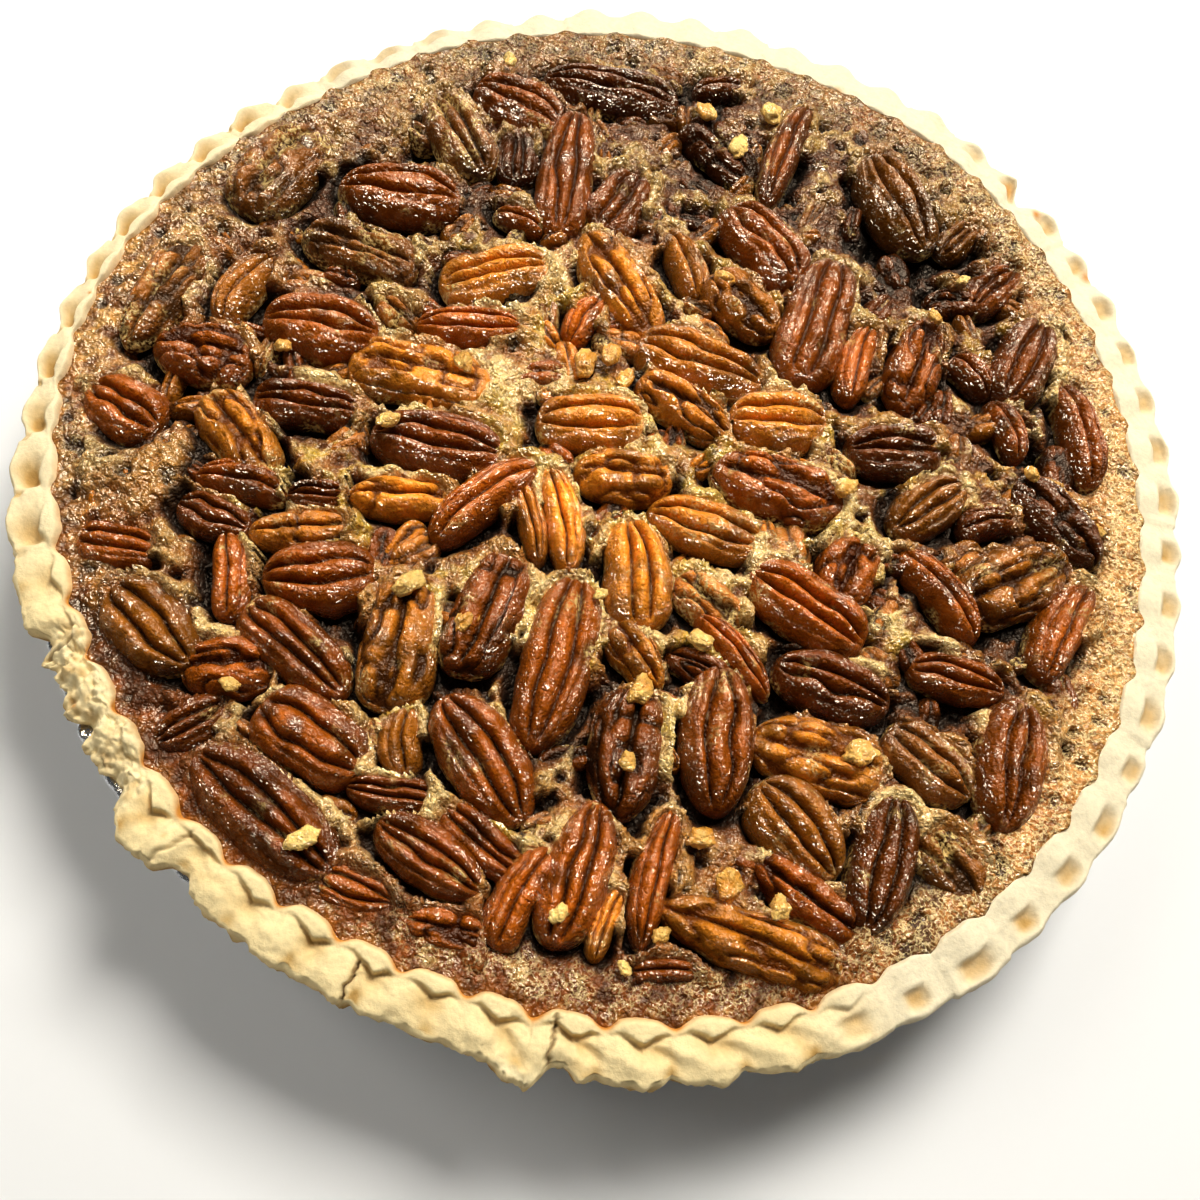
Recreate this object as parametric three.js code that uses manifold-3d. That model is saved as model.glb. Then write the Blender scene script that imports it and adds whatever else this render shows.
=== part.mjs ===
// A pecan pie in its own foil tin. Millimetres, +Z up, the tin's base on z = 0.
import * as THREE from 'three';
import Module from 'manifold-3d';
import { ParametricGeometry } from 'three/addons/geometries/ParametricGeometry.js';
import { mergeVertices } from 'three/addons/utils/BufferGeometryUtils.js';

const wasm = await Module();
wasm.setup();

// Driving dimensions.
// Inner and outer radius of the crust's border every 20 degrees, from +X round by +Y.
const borderRadii = [
  [107.6, 117.7],
  [108.2, 118.7],
  [110.2, 120.8],
  [112.3, 122.3],
  [112.0, 121.7],
  [112.1, 121.7],
  [111.9, 119.2],
  [110.4, 118.6],
  [112.8, 119.7],
  [113.6, 119.5],
  [110.8, 120.1],
  [108.0, 119.8],
  [108.3, 119.2],
  [108.0, 118.9],
  [110.1, 121.2],
  [111.3, 122.0],
  [110.9, 121.4],
  [109.4, 119.3],
];
const crimpCount = 59;
const firstDent = -23.1; // degrees, the middle of one dent
const crestHeight = 35; // of the crust's inner ridge
const fillingHeight = 32;
const crustThickness = 3.6;
const tinHeight = 28.6; // top of the tin's flange
const tinBaseRadius = 92;
const tinMouthRadius = 108.5;
const tinRimRadius = 118;
const foilThickness = 0.6;
const pleatCount = 50;
const pleatDepth = 0.9;
const gap = 0.3; // between touching pieces
const sunkDepth = 0.4; // of the small pecans' flat sides below the filling's surface
const pecanNodes = 57; // the largest pecans are pieces of their own
const bitLength = 16.5; // a pecan shorter than this is a broken bit
const cutTolerance = 0.07; // edges shorter than this are merged after a cut

const crustMouthRadius = tinMouthRadius - 1 - 0.7 * crustThickness;
const circle = 2 * Math.PI;
const radians = THREE.MathUtils.degToRad;

// A repeatable number from 0 to 1 for each whole number.
function scatter(seed) {
  const wave = Math.sin(seed * 12.9898 + 78.233) * 43758.5453;
  return wave - Math.floor(wave);
}

// 1 at the middle of a stretch of the border, falling to 0 over its ends. All in degrees.
function stretch(angle, from, to, fade) {
  const turned = THREE.MathUtils.euclideanModulo(angle, 360);
  const inside = Math.min(turned - from, to - turned);
  return THREE.MathUtils.smoothstep(inside, -fade / 2, fade / 2);
}

// ---- Closed solids from surface functions ----

// point(u, v, target) sets a point: u goes once round, and v from the first pole to the last. Seen from
// outside, v runs to the right as u runs up, so each face is turned over.
function closedSurface(point, around, along) {
  const wrapped = (u, v, target) => point(u === 1 ? 0 : u, v, target);
  const geometry = new ParametricGeometry(wrapped, around, along);
  geometry.deleteAttribute('normal');
  geometry.deleteAttribute('uv');
  const merged = mergeVertices(geometry, 1e-4);
  const kept = [];
  for (let i = 0; i < merged.index.count; i += 3) {
    const [a, b, c] = merged.index.array.subarray(i, i + 3);
    if (a !== b && b !== c && c !== a) kept.push(a, c, b);
  }
  merged.setIndex(kept);
  return merged;
}

function toSolid(geometry, matrix = new THREE.Matrix4()) {
  const placed = geometry.clone().applyMatrix4(matrix);
  return new wasm.Manifold(new wasm.Mesh({
    numProp: 3,
    vertProperties: new Float32Array(placed.attributes.position.array),
    triVerts: new Uint32Array(placed.index.array),
  }));
}

function toGeometry(solid) {
  const mesh = solid.getMesh();
  const geometry = new THREE.BufferGeometry();
  geometry.setAttribute('position', new THREE.BufferAttribute(mesh.vertProperties, 3));
  geometry.setIndex(new THREE.BufferAttribute(mesh.triVerts, 1));
  return geometry;
}

// A cut can leave scraps: only the largest body stays.
function largestBody(solid) {
  const bodies = solid.decompose();
  return bodies.reduce((best, body) => (body.volume() > best.volume() ? body : best));
}

// A solid turned round the axis. rows(angle) gives the profile as [radius, height] pairs, which start
// and end on the axis.
function turnedSurface(rows, around) {
  const along = rows(0).length - 1;
  return closedSurface((u, v, target) => {
    const angle = u * circle;
    const [radius, height] = rows(angle)[Math.round(v * along)];
    target.set(radius * Math.cos(angle), radius * Math.sin(angle), height);
  }, around, along);
}

// ---- Foil tin: a pressed dish with a pleated wall, a flat flange and an edge curled under ----

function tinRows(angle) {
  const pleat = pleatDepth * 0.5 * (1 - Math.cos(angle * pleatCount));
  const wall = tinMouthRadius + pleat;
  return [
    [0, foilThickness],
    [tinBaseRadius - foilThickness, foilThickness],
    [wall, tinHeight - foilThickness],
    [wall + 1, tinHeight],
    [tinRimRadius - 0.7, tinHeight],
    [tinRimRadius, tinHeight - 1.2],
    [tinRimRadius - 0.8, tinHeight - 2.4],
    [tinRimRadius - 2.2, tinHeight - 1.4],
    [wall + foilThickness + 0.6, tinHeight - 1.2],
    [tinBaseRadius, 0],
    [0, 0],
  ];
}

// ---- Crust: a shell that lines the tin, with a crimped border on the flange ----

// Where an angle lies in its crimp: 0 at the dent, 0.5 or -0.5 at the ridges beside it.
function crimpPhase(angle, lean) {
  const turns = (angle - radians(firstDent)) * crimpCount / circle + lean;
  return turns - Math.round(turns);
}

function crimpNumber(angle) {
  const turns = (angle - radians(firstDent)) * crimpCount / circle;
  return THREE.MathUtils.euclideanModulo(Math.round(turns), crimpCount);
}

// The border's inner and outer radius at an angle, on a smooth closed curve through the readings.
const borderCurve = new THREE.CatmullRomCurve3(
  borderRadii.map(([inner, outer]) => new THREE.Vector3(inner, outer, 0)),
  true,
  'catmullrom',
);

function border(angle) {
  const { x, y } = borderCurve.getPoint(THREE.MathUtils.euclideanModulo(angle, circle) / circle);
  return [x, y];
}

// How far the baked edge has crumbled away, in mm, and where a flap of it stands out.
function brokenEdge(angle) {
  const degrees = THREE.MathUtils.radToDeg(angle);
  const crumbs = 0.8 * Math.sin(angle * 71) + 0.5 * Math.sin(angle * 113);
  const crumbled = stretch(degrees, 214, 232, 3) * (3.6 + crumbs);
  const lump = stretch(degrees, 233, 238, 2) * 1.4;
  const besideLump = stretch(degrees, 238.6, 241.2, 2) * 2.4;
  const besideFlap = stretch(degrees, 274.5, 276.5, 1.4) * 2.4;
  const chipped = stretch(degrees, 47, 49.6, 2) * 3.2;
  const flap = stretch(degrees, 270.6, 273.6, 2) * 2.6;
  return crumbled - lump + besideLump + besideFlap + chipped - flap;
}

function crustRows(angle) {
  const phase = crimpPhase(angle, 0);
  const ridge = 0.5 - 0.5 * Math.cos(phase * circle);
  const dent = 1 - ridge;
  const chance = scatter(crimpNumber(angle));
  const lost = brokenEdge(angle);
  const [innerRadius, outerRadius] = border(angle);
  const inner = innerRadius + 1.3 * ridge ** 3;
  const scallop = (0.3 + 0.8 * Math.sin(angle)) * (dent - ridge); // bumps beyond the dents, or notches
  const outer = outerRadius + scallop + 0.8 * (chance - 0.5) - lost;
  const width = outer - inner;
  const drop = Math.max(0, lost) * 0.35;
  const crest = crestHeight - 0.9 * ridge + 0.5 * (chance - 0.5);
  const floor = foilThickness + gap;
  const wallFoot = tinBaseRadius - foilThickness - gap - 1;
  const wallTop = tinMouthRadius - 1;
  return [
    [0, floor + crustThickness],
    [wallFoot - crustThickness, floor + crustThickness],
    [crustMouthRadius, tinHeight + 1.2],
    [inner, fillingHeight - 0.6],
    [inner + 0.18 * width, crest],
    [inner + 0.38 * width, crest - 0.7 - (0.9 + 0.8 * chance) * dent],
    [outer - 0.28 * width, crest - 0.8 - drop * 0.5 - 1.1 * dent],
    [outer - 0.06 * width, crest - 1.7 - drop - 0.3 * dent],
    [outer, Math.max(crest - 3.8 - drop, tinHeight + 2 * gap)],
    [Math.max(outer - 1.6, tinRimRadius - 4), tinHeight + gap],
    [wallTop, tinHeight + gap],
    [wallFoot, floor],
    [0, floor],
  ];
}

// ---- Filling: set custard up to the crust, level where the pecans lie ----

function fillingRadius(angle) {
  return border(angle)[0] - 2 * gap;
}

function fillingRows(angle) {
  const floor = foilThickness + crustThickness + 2 * gap;
  const foot = tinBaseRadius - foilThickness - crustThickness - 3;
  return [
    [0, fillingHeight],
    [52, fillingHeight],
    [fillingRadius(angle), fillingHeight],
    [crustMouthRadius - 3 * gap, tinHeight + 1.2 + gap],
    [foot, floor],
    [0, floor],
  ];
}

// ---- Pecans ----

// The section of each kind across the nut, from edge to edge: [across, up] with 1 as half the width and
// the full height. A ridged one lies with its back up, a wrinkled one with its inner face up, and an
// edge one on its side.
const sections = {
  ridged: [[-1, 0], [-0.88, 0.62], [-0.46, 0.78], [-0.22, 1], [0.22, 1], [0.46, 0.78], [0.88, 0.62], [1, 0]],
  wrinkled: [[-1, 0], [-0.92, 0.76], [-0.55, 1], [-0.1, 0.76], [0.1, 0.76], [0.55, 1], [0.92, 0.76], [1, 0]],
  edge: [[-1, 0], [-0.86, 0.55], [-0.5, 0.9], [-0.15, 1], [0.25, 0.9], [0.55, 0.7], [0.88, 0.42], [1, 0]],
};
const sunkSection = [[-1, 0], [-0.75, 0.8], [0, 1], [0.75, 0.8], [1, 0]];
const pecanBands = 5; // steps from tip to tip
const sunkBands = 4; // of a small one, and one fewer where it is only a bit
const bend = { ridged: 0, wrinkled: 0, edge: 0.16 };

// Each pecan: colour, kind, x, y, length, width, heading in degrees, height above the filling. Those that
// lie on top come first, because a later one is cut back where it would cross an earlier one.
const pecans = [
  ['red', 'ridged', -4, -49.5, 35, 14, 87, 7.6],
  ['dark', 'ridged', -37, -9.5, 27, 14, 4, 7.2],
  ['amber', 'wrinkled', -44.5, 6, 30, 14, 2, 6.4],
  ['red', 'edge', -24.5, -20, 27, 9.5, 53, 7],
  ['red', 'ridged', -67.5, 11.5, 24, 15.5, 4, 7.4],
  ['red', 'ridged', -61, 50, 27, 16, 6, 7.6],
  ['red', 'ridged', -26.5, 66.5, 35, 13, 95, 7],
  ['dark', 'ridged', -21.5, 93.5, 32, 12, 4, 6.4],
  ['brown', 'ridged', 49.5, 78.5, 29, 16, -57, 7.8],
  ['red', 'ridged', 20.5, 58.5, 24, 15, -42, 7.4],
  ['red', 'edge', 22.5, 85.5, 32, 8, 80, 6.6],
  ['red', 'ridged', 35.5, 41, 34, 15, 82, 7.6],
  ['brown', 'ridged', 12, 23, 28, 13, -8, 7.2],
  ['amber', 'wrinkled', -9, 39, 30, 13, -48, 6.6],
  ['amber', 'ridged', -35.5, 34, 24, 13, 28, 6.6],
  ['red', 'ridged', -37.5, 20, 23, 8.5, 12, 6],
  ['brown', 'ridged', -8, 3, 22, 13, 12, 6.8],
  ['brown', 'wrinkled', 10.5, 11.5, 23, 10, -25, 6.4],
  ['amber', 'ridged', 30.5, 13.5, 21, 14, 12, 6.6],
  ['red', 'wrinkled', 32.5, -2.5, 28, 14, -8, 7],
  ['amber', 'wrinkled', 1, -7.5, 20, 12, 8, 6],
  ['amber', 'ridged', 7.5, -28, 23, 13.5, 107, 7],
  ['brown', 'ridged', 19, -15, 23, 12, -3, 6.4],
  ['red', 'ridged', 41.5, -27.5, 26, 13, -25, 7.8],
  ['dark', 'ridged', 48.5, -42.5, 23, 13, -8, 6.8],
  ['red', 'ridged', 28.5, -57.5, 28, 14, 97, 7.8],
  ['dark', 'wrinkled', 12.5, -63.5, 25, 14, 91, 7],
  ['red', 'ridged', 8, -86.5, 27, 12, 84, 7.6],
  ['red', 'ridged', -13, -70.5, 27, 14.5, -45, 7.4],
  ['brown', 'wrinkled', -33.5, -52.5, 26, 14, 95, 6.8],
  ['dark', 'wrinkled', -19, -43, 26, 13.5, 80, 6.6],
  ['dark', 'ridged', -48, -88, 33, 15, -28, 7.4],
  ['red', 'ridged', -44, -73.5, 22, 14.5, -20, 7],
  ['red', 'ridged', -18, -89.5, 22, 11, -22, 6.6],
  ['red', 'ridged', -51.5, -58, 25, 12, -30, 7],
  ['red', 'ridged', -51.5, -43, 21, 14, 18, 7],
  ['brown', 'ridged', -78.5, -59.5, 22, 14, -32, 7],
  ['amber', 'wrinkled', -76, -17, 22, 12, -40, 6.6],
  ['frothed', 'wrinkled', -65, 33, 26, 13, -4, 6.4],
  ['frothed', 'wrinkled', -88, 50, 28, 17, 68, 7],
  ['frothed', 'wrinkled', -101.5, 11.5, 28, 11.5, 80, 5.6],
  ['red', 'wrinkled', -88.5, -0.5, 20, 14, 5, 6.6],
  ['frothed', 'ridged', -52.5, 70.5, 25, 14, -52, 6.6],
  ['red', 'ridged', -41.5, 83, 22, 14, -12, 6],
  ['red', 'ridged', -99.5, -16.5, 17, 13, -20, 6.4],
  ['red', 'ridged', 82, 42, 24, 13, 72, 7],
  ['red', 'wrinkled', 58, 35, 24, 12, 82, 6.8],
  ['red', 'edge', 95, 27, 26, 8.5, -72, 6.2],
  ['dark', 'ridged', 55.5, 12.5, 20, 13, 14, 6.6],
  ['dark', 'wrinkled', 91, 4, 24, 12, -42, 6.2],
  ['brown', 'wrinkled', 83, -12, 26, 15, 35, 7.6],
  ['red', 'edge', 68, -18, 23, 8, -45, 6.4],
  ['red', 'edge', 93.5, -20.5, 24, 9.5, 68, 6],
  ['red', 'ridged', 84, -50, 26, 14, 86, 7.2],
  ['amber', 'wrinkled', 47.5, -56.5, 25, 14.5, -3, 6.8],
  ['brown', 'ridged', 45.5, -71, 21, 14, -40, 7],
  ['dark', 'ridged', 61.5, -73.5, 26, 12, 82, 6.8],
  ['amber', 'wrinkled', 40, -92, 33, 11, -8, 6.8],
  ['red', 'wrinkled', 49, -82.5, 24, 9, -24, 6],
  ['red', 'edge', 21.5, -84.5, 26, 7, 86, 6],
  ['brown', 'ridged', 64, 1, 19, 11, 45, 6.4],
  ['brown', 'wrinkled', 18.5, 41, 20, 13, -35, 6.2],
  ['frothed', 'ridged', 69, -53, 19, 12, -32, 5.6],
  ['red', 'edge', -1, -92.5, 20, 8, 72, 6],
  ['amber', 'edge', -9.5, -19.5, 23, 8, -67, 5.6],
  ['brown', 'edge', -15.5, -21, 20, 5.5, -65, 4.6],
  ['amber', 'wrinkled', -41, -22.5, 21, 8.5, 12, 5.2],
  ['dark', 'ridged', -65, -6.5, 22, 10, 5, 6],
  ['red', 'edge', -72, -27, 18, 8, 2, 5.6],
  ['brown', 'wrinkled', -58, -34, 20, 8, 18, 5],
  ['dark', 'ridged', -75, -35, 15, 9, -10, 4.6],
  ['dark', 'ridged', -57, -26, 12, 7, 10, 4.6],
  ['red', 'edge', -68, -46, 18, 8, -72, 5],
  ['red', 'ridged', -90, -45, 16, 10, 3, 5],
  ['red', 'wrinkled', -62, -63.5, 18, 12, 15, 6],
  ['dark', 'ridged', -65.5, -75.5, 14, 9, 45, 5],
  ['brown', 'edge', -28, -70, 13, 8, 100, 4.8],
  ['dark', 'ridged', -27.5, -80, 16, 7, 5, 4.8],
  ['red', 'ridged', -9.5, -85, 18, 9, -30, 5.2],
  ['red', 'ridged', -29, -97.5, 14, 8, -8, 4.6],
  ['red', 'wrinkled', -12, -100.5, 15, 7.5, 0, 4.6],
  ['amber', 'edge', 14.5, -94, 14, 5, 80, 4.4],
  ['dark', 'edge', 26, -99.5, 12, 5.5, 10, 3.8],
  ['amber', 'wrinkled', 10.5, -44.5, 16, 8.5, -45, 6],
  ['dark', 'wrinkled', 24, -44.5, 16, 7, -14, 4.6],
  ['red', 'edge', 29, -40, 21, 6, -40, 5.4],
  ['frothed', 'wrinkled', 22.5, -30.5, 16, 10, -30, 5],
  ['red', 'wrinkled', 49, -17.5, 16, 13, 75, 6],
  ['red', 'ridged', 73, -35, 19, 9, -3, 5.4],
  ['frothed', 'wrinkled', 74.5, -71, 16, 11, -45, 4.8],
  ['dark', 'edge', 77, 0.5, 13, 7, 20, 4.4],
  ['red', 'edge', 79.5, 24, 15, 7, -60, 4.8],
  ['red', 'edge', 71, 36, 12, 7, -45, 4.6],
  ['red', 'edge', 45.5, 33, 21, 8, 82, 5.2],
  ['red', 'ridged', 74, 60.5, 18, 10, 55, 4.6],
  ['dark', 'wrinkled', 66.5, 54.5, 15, 8, 10, 4],
  ['brown', 'ridged', 65, 72.5, 12, 8, 55, 4.2],
  ['amber', 'edge', 4, 49, 19, 8, -58, 5.4],
  ['red', 'ridged', -13, 61.5, 18, 13, 72, 5.2],
  ['dark', 'ridged', -38.5, 69, 15, 10, 100, 4.4],
  ['red', 'edge', -34, 51, 12, 6, -10, 3.8],
  ['red', 'edge', -14.5, 28, 14, 7.5, 70, 4.8],
  ['frothed', 'wrinkled', -53.5, 19.5, 11, 8, -30, 4],
  ['brown', 'edge', -86, 18, 20, 9, 72, 5],
  ['dark', 'wrinkled', 7, 83, 22, 11.5, -35, 5],
  ['dark', 'edge', 4, 103, 14, 6, 22, 3.6],
];

function area(pecan) {
  const [, , , , length, width] = pecan;
  return length * width;
}

const bySize = [...pecans].sort((a, b) => area(b) - area(a));
const largest = new Set(bySize.slice(0, pecanNodes));

// A pecan half along X on z = 0: the width and height swell from the tips by rounded power curves.
// spare widens it all round, for cutting clearance.
function pecanGeometry(pecan, section, along, spare) {
  const [, kind, x, y, length, width, , rise] = pecan;
  const slope = 0.24 * (scatter(x + 3 * y) - 0.5);
  const foot = spare > 0 ? -2 : 0;
  return closedSurface((u, v, target) => {
    const t = THREE.MathUtils.clamp(Math.sin((v - 0.5) * Math.PI) * 1.001, -1, 1);
    const half = (width / 2 + spare) * Math.sqrt(Math.max(0, 1 - Math.abs(t) ** 2.4));
    const tall = (rise + spare) * (0.34 + 0.66 * Math.sqrt(1 - Math.abs(t) ** 3)) * (1 + slope * t);
    const [across, up] = section[Math.round(u * section.length) % section.length];
    const sway = bend[kind] * width * (0.5 - t * t);
    const pole = v === 0 || v === 1;
    const height = pole ? 0.45 * tall : up * tall || foot;
    target.set(t * (length / 2 + spare), pole ? sway : half * across + sway, height);
  }, section.length, along);
}

function pecanMatrix(pecan, base) {
  const [, , x, y, , , heading] = pecan;
  const turn = new THREE.Matrix4().makeRotationZ(radians(heading));
  return turn.setPosition(x, y, base);
}

// All the room within the crust's border, as far as the pecans may reach.
const insideBorder = toSolid(turnedSurface((angle) => [
  [0, 2 * crestHeight],
  [fillingRadius(angle), 2 * crestHeight],
  [fillingRadius(angle), 0],
  [0, 0],
], 72));

// The part of a pecan inside the crust's ridge, clear of the pecans that lie over it.
function fittedPecan(pecan, section, along, base, neighbours) {
  let solid = toSolid(pecanGeometry(pecan, section, along, 0), pecanMatrix(pecan, base));
  const [, , x, y, length] = pecan;
  if (Math.hypot(x, y) + length / 2 > crustMouthRadius) solid = solid.intersect(insideBorder);
  for (const other of neighbours) {
    const reach = (length + other[4]) / 2;
    if (Math.hypot(x - other[2], y - other[3]) > reach) continue;
    const cutter = pecanGeometry(other, sections[other[1]], pecanBands, gap);
    solid = solid.subtract(toSolid(cutter, pecanMatrix(other, fillingHeight + gap)));
  }
  return largestBody(solid).simplify(cutTolerance);
}

// ---- The model ----

const finishes = {
  foil: { color: 0xb9bcc0, roughness: 0.3, metalness: 1 },
  crust: { color: 0xf3e3b4, roughness: 0.85, metalness: 0 },
  filling: { color: 0x9a6a3c, roughness: 0.55, metalness: 0 },
  red: { color: 0x7a3013, roughness: 0.3, metalness: 0 },
  brown: { color: 0x6b3d1c, roughness: 0.35, metalness: 0 },
  dark: { color: 0x3c1c0e, roughness: 0.25, metalness: 0 },
  amber: { color: 0xa8662a, roughness: 0.35, metalness: 0 },
  frothed: { color: 0x8a6444, roughness: 0.5, metalness: 0 },
};

const pie = new THREE.Group();

function addPiece(name, geometry, finish) {
  const piece = new THREE.Mesh(geometry, new THREE.MeshStandardMaterial(finishes[finish]));
  piece.name = name;
  pie.add(piece);
  return piece;
}

addPiece('foil_tin', turnedSurface(tinRows, 2 * pleatCount), 'foil');
addPiece('crust', turnedSurface(crustRows, 4 * crimpCount), 'crust');

const onTop = pecans.filter((pecan) => largest.has(pecan));
const sunk = pecans.filter((pecan) => !largest.has(pecan));

const numbers = {};
onTop.forEach((pecan, i) => {
  const [colour, kind, x, y, , , heading] = pecan;
  const base = fillingHeight + gap;
  const solid = fittedPecan(pecan, sections[kind], pecanBands, base, onTop.slice(0, i));
  const stem = `pecan_${colour}_${kind}`;
  numbers[stem] = (numbers[stem] ?? 0) + 1;
  const geometry = toGeometry(solid).applyMatrix4(pecanMatrix(pecan, base).invert());
  const piece = addPiece(`${stem}_${numbers[stem]}`, geometry, colour);
  piece.position.set(x, y, base);
  piece.rotation.z = radians(heading);
});

// The small and half sunk pecans are one piece with the filling that holds them.
const filling = sunk.reduce(
  (solid, pecan) => {
    const along = pecan[4] < bitLength ? sunkBands - 1 : sunkBands;
    return solid.add(fittedPecan(pecan, sunkSection, along, fillingHeight - sunkDepth, onTop));
  },
  toSolid(turnedSurface(fillingRows, 72)),
);
addPiece('filling', toGeometry(filling.simplify(cutTolerance)), 'filling');

// The box round the whole pie is centred on the origin.
const centre = new THREE.Box3().setFromObject(pie, true).getCenter(new THREE.Vector3());
for (const piece of pie.children) {
  piece.position.x -= centre.x;
  piece.position.y -= centre.y;
}

export default pie;
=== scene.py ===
import bpy
import numpy as np
from mathutils import Matrix, Vector


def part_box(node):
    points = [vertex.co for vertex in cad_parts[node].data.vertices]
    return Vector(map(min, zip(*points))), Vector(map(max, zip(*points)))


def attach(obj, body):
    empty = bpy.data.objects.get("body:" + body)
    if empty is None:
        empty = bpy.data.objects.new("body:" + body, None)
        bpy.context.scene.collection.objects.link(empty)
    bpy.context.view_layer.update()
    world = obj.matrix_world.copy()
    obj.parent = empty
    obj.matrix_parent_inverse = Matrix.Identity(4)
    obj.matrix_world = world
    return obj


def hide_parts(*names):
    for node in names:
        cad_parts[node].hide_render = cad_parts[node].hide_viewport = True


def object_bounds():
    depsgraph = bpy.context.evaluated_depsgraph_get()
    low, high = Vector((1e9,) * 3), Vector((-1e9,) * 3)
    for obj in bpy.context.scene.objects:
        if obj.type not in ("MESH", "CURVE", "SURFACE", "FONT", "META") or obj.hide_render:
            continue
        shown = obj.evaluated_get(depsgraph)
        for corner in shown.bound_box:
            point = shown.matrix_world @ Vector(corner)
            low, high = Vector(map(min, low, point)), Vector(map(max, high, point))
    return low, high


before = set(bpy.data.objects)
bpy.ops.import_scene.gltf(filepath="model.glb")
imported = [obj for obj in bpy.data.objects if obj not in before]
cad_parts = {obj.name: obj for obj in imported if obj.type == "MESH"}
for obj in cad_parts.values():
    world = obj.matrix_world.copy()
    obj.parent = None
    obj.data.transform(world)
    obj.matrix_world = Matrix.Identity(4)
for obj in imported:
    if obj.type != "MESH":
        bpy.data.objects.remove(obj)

cad_low, cad_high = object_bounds()


# ---- Foil tin ----
# A dish pressed from thin aluminium foil. The press gathers the wall into pleats, leaves a flat flange
# for the crust to lie on, and rolls the cut edge under.

MM = 0.001
tin_low, tin_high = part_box("foil_tin")
pie_axis = np.array([(tin_low.x + tin_high.x) / 2, (tin_low.y + tin_high.y) / 2, 0.0])
tin_height = tin_high.z / MM
tin_rim = (tin_high.x - tin_low.x) / 2 / MM
flange_width = 9.5
base_inset = 26
tin_mouth = tin_rim - flange_width
tin_base = tin_rim - base_inset
foil_gauge = 0.6
corner_radius = 2.6
bead_radius = 1.3
under_flange = tin_height - 1.2
innermost = 20
pleats = 50
pleat_depth = 0.9
tin_columns = 1000


def paint(code):
    """The linear colour of a six-digit code."""
    parts = np.array([int(code[i:i + 2], 16) for i in (0, 2, 4)]) / 255
    return np.where(parts > 0.04045, ((parts + 0.055) / 1.055) ** 2.4, parts / 12.92)


def grid_faces(rows, columns, first=0):
    """Quads between neighbouring rows of a grid, whose last column joins its first."""
    row = first + columns * np.arange(rows - 1)[:, None]
    here = np.arange(columns)
    after = (here + 1) % columns
    upper = row + columns
    return np.stack([row + here, row + after, upper + after, upper + here], -1).reshape(-1, 4)


def cap_faces(ring, pole, upward):
    """Triangles from one ring of points to the point that closes it."""
    after = np.roll(ring, -1)
    return np.stack([ring, after, np.full_like(ring, pole)] if upward
                    else [after, ring, np.full_like(ring, pole)], -1)


def add_piece(name, points, faces, material, slot, nodes, **values):
    """A smooth mesh from points in mm about the pie's axis. values are numbers or colours by point."""
    mesh = bpy.data.meshes.new(name)
    mesh.from_pydata(points * MM + pie_axis, [], [face for part in faces for face in part.tolist()])
    for label, value in values.items():
        if value.ndim == 1:
            layer = mesh.attributes.new(label, "FLOAT", "POINT")
            layer.data.foreach_set("value", value.astype(np.float32))
        else:
            layer = mesh.attributes.new(label, "FLOAT_COLOR", "POINT")
            alpha = np.ones((len(value), 1))
            layer.data.foreach_set("color", np.hstack([value, alpha]).astype(np.float32).ravel())
    mesh.shade_smooth()
    mesh.materials.append(material)
    piece = bpy.data.objects.new(name, mesh)
    bpy.context.collection.objects.link(piece)
    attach(piece, "root")
    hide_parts(*nodes)
    return piece


def new_material(name):
    """A material, its node tree and its one Principled BSDF."""
    material = bpy.data.materials.new(name)
    material.use_nodes = True
    return material, material.node_tree, material.node_tree.nodes["Principled BSDF"]


def add_node(tree, kind, settings=None, **inputs):
    """One shader node. An input is named by its label, or by i and its number. Given a socket it is
    linked to it, and given anything else it takes that value."""
    made = tree.nodes.new(kind)
    for label, value in (settings or {}).items():
        setattr(made, label, value)
    for label, value in inputs.items():
        numbered = label[0] == "i" and label[1:].isdigit()
        socket = made.inputs[int(label[1:]) if numbered else label]
        if isinstance(value, bpy.types.NodeSocket):
            tree.links.new(value, socket)
        else:
            socket.default_value = value
    return made


def arithmetic(tree, operation, *values):
    """One step of arithmetic on sockets and numbers."""
    return add_node(tree, "ShaderNodeMath", {"operation": operation},
                    **{f"i{index}": value for index, value in enumerate(values)}).outputs[0]


def own_place(tree):
    """Where a point lies on its piece, in metres."""
    return add_node(tree, "ShaderNodeTexCoord").outputs["Object"]


def noise(tree, place, scale, detail, **inputs):
    """A smooth noise from 0 to 1, with scale waves to the metre."""
    made = add_node(tree, "ShaderNodeTexNoise", Vector=place, Scale=scale, Detail=detail, **inputs)
    return made.outputs["Fac"]


def bumped(tree, height, strength, distance):
    """The surface's normal, bent by a height from 0 to 1 that stands for a distance in metres."""
    return add_node(tree, "ShaderNodeBump", Height=height, Strength=strength,
                    Distance=distance).outputs["Normal"]


def arc(across, up, radius, start, end, steps):
    """Points [radius, height] on part of a circle, from one angle in degrees to another."""
    turn = np.radians(np.linspace(start, end, steps))
    return np.stack([across + radius * np.cos(turn), up + radius * np.sin(turn)], 1)


def line(start, end, steps):
    """Points evenly along a straight line, its end left out."""
    return np.linspace(start, end, steps, endpoint=False)


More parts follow.
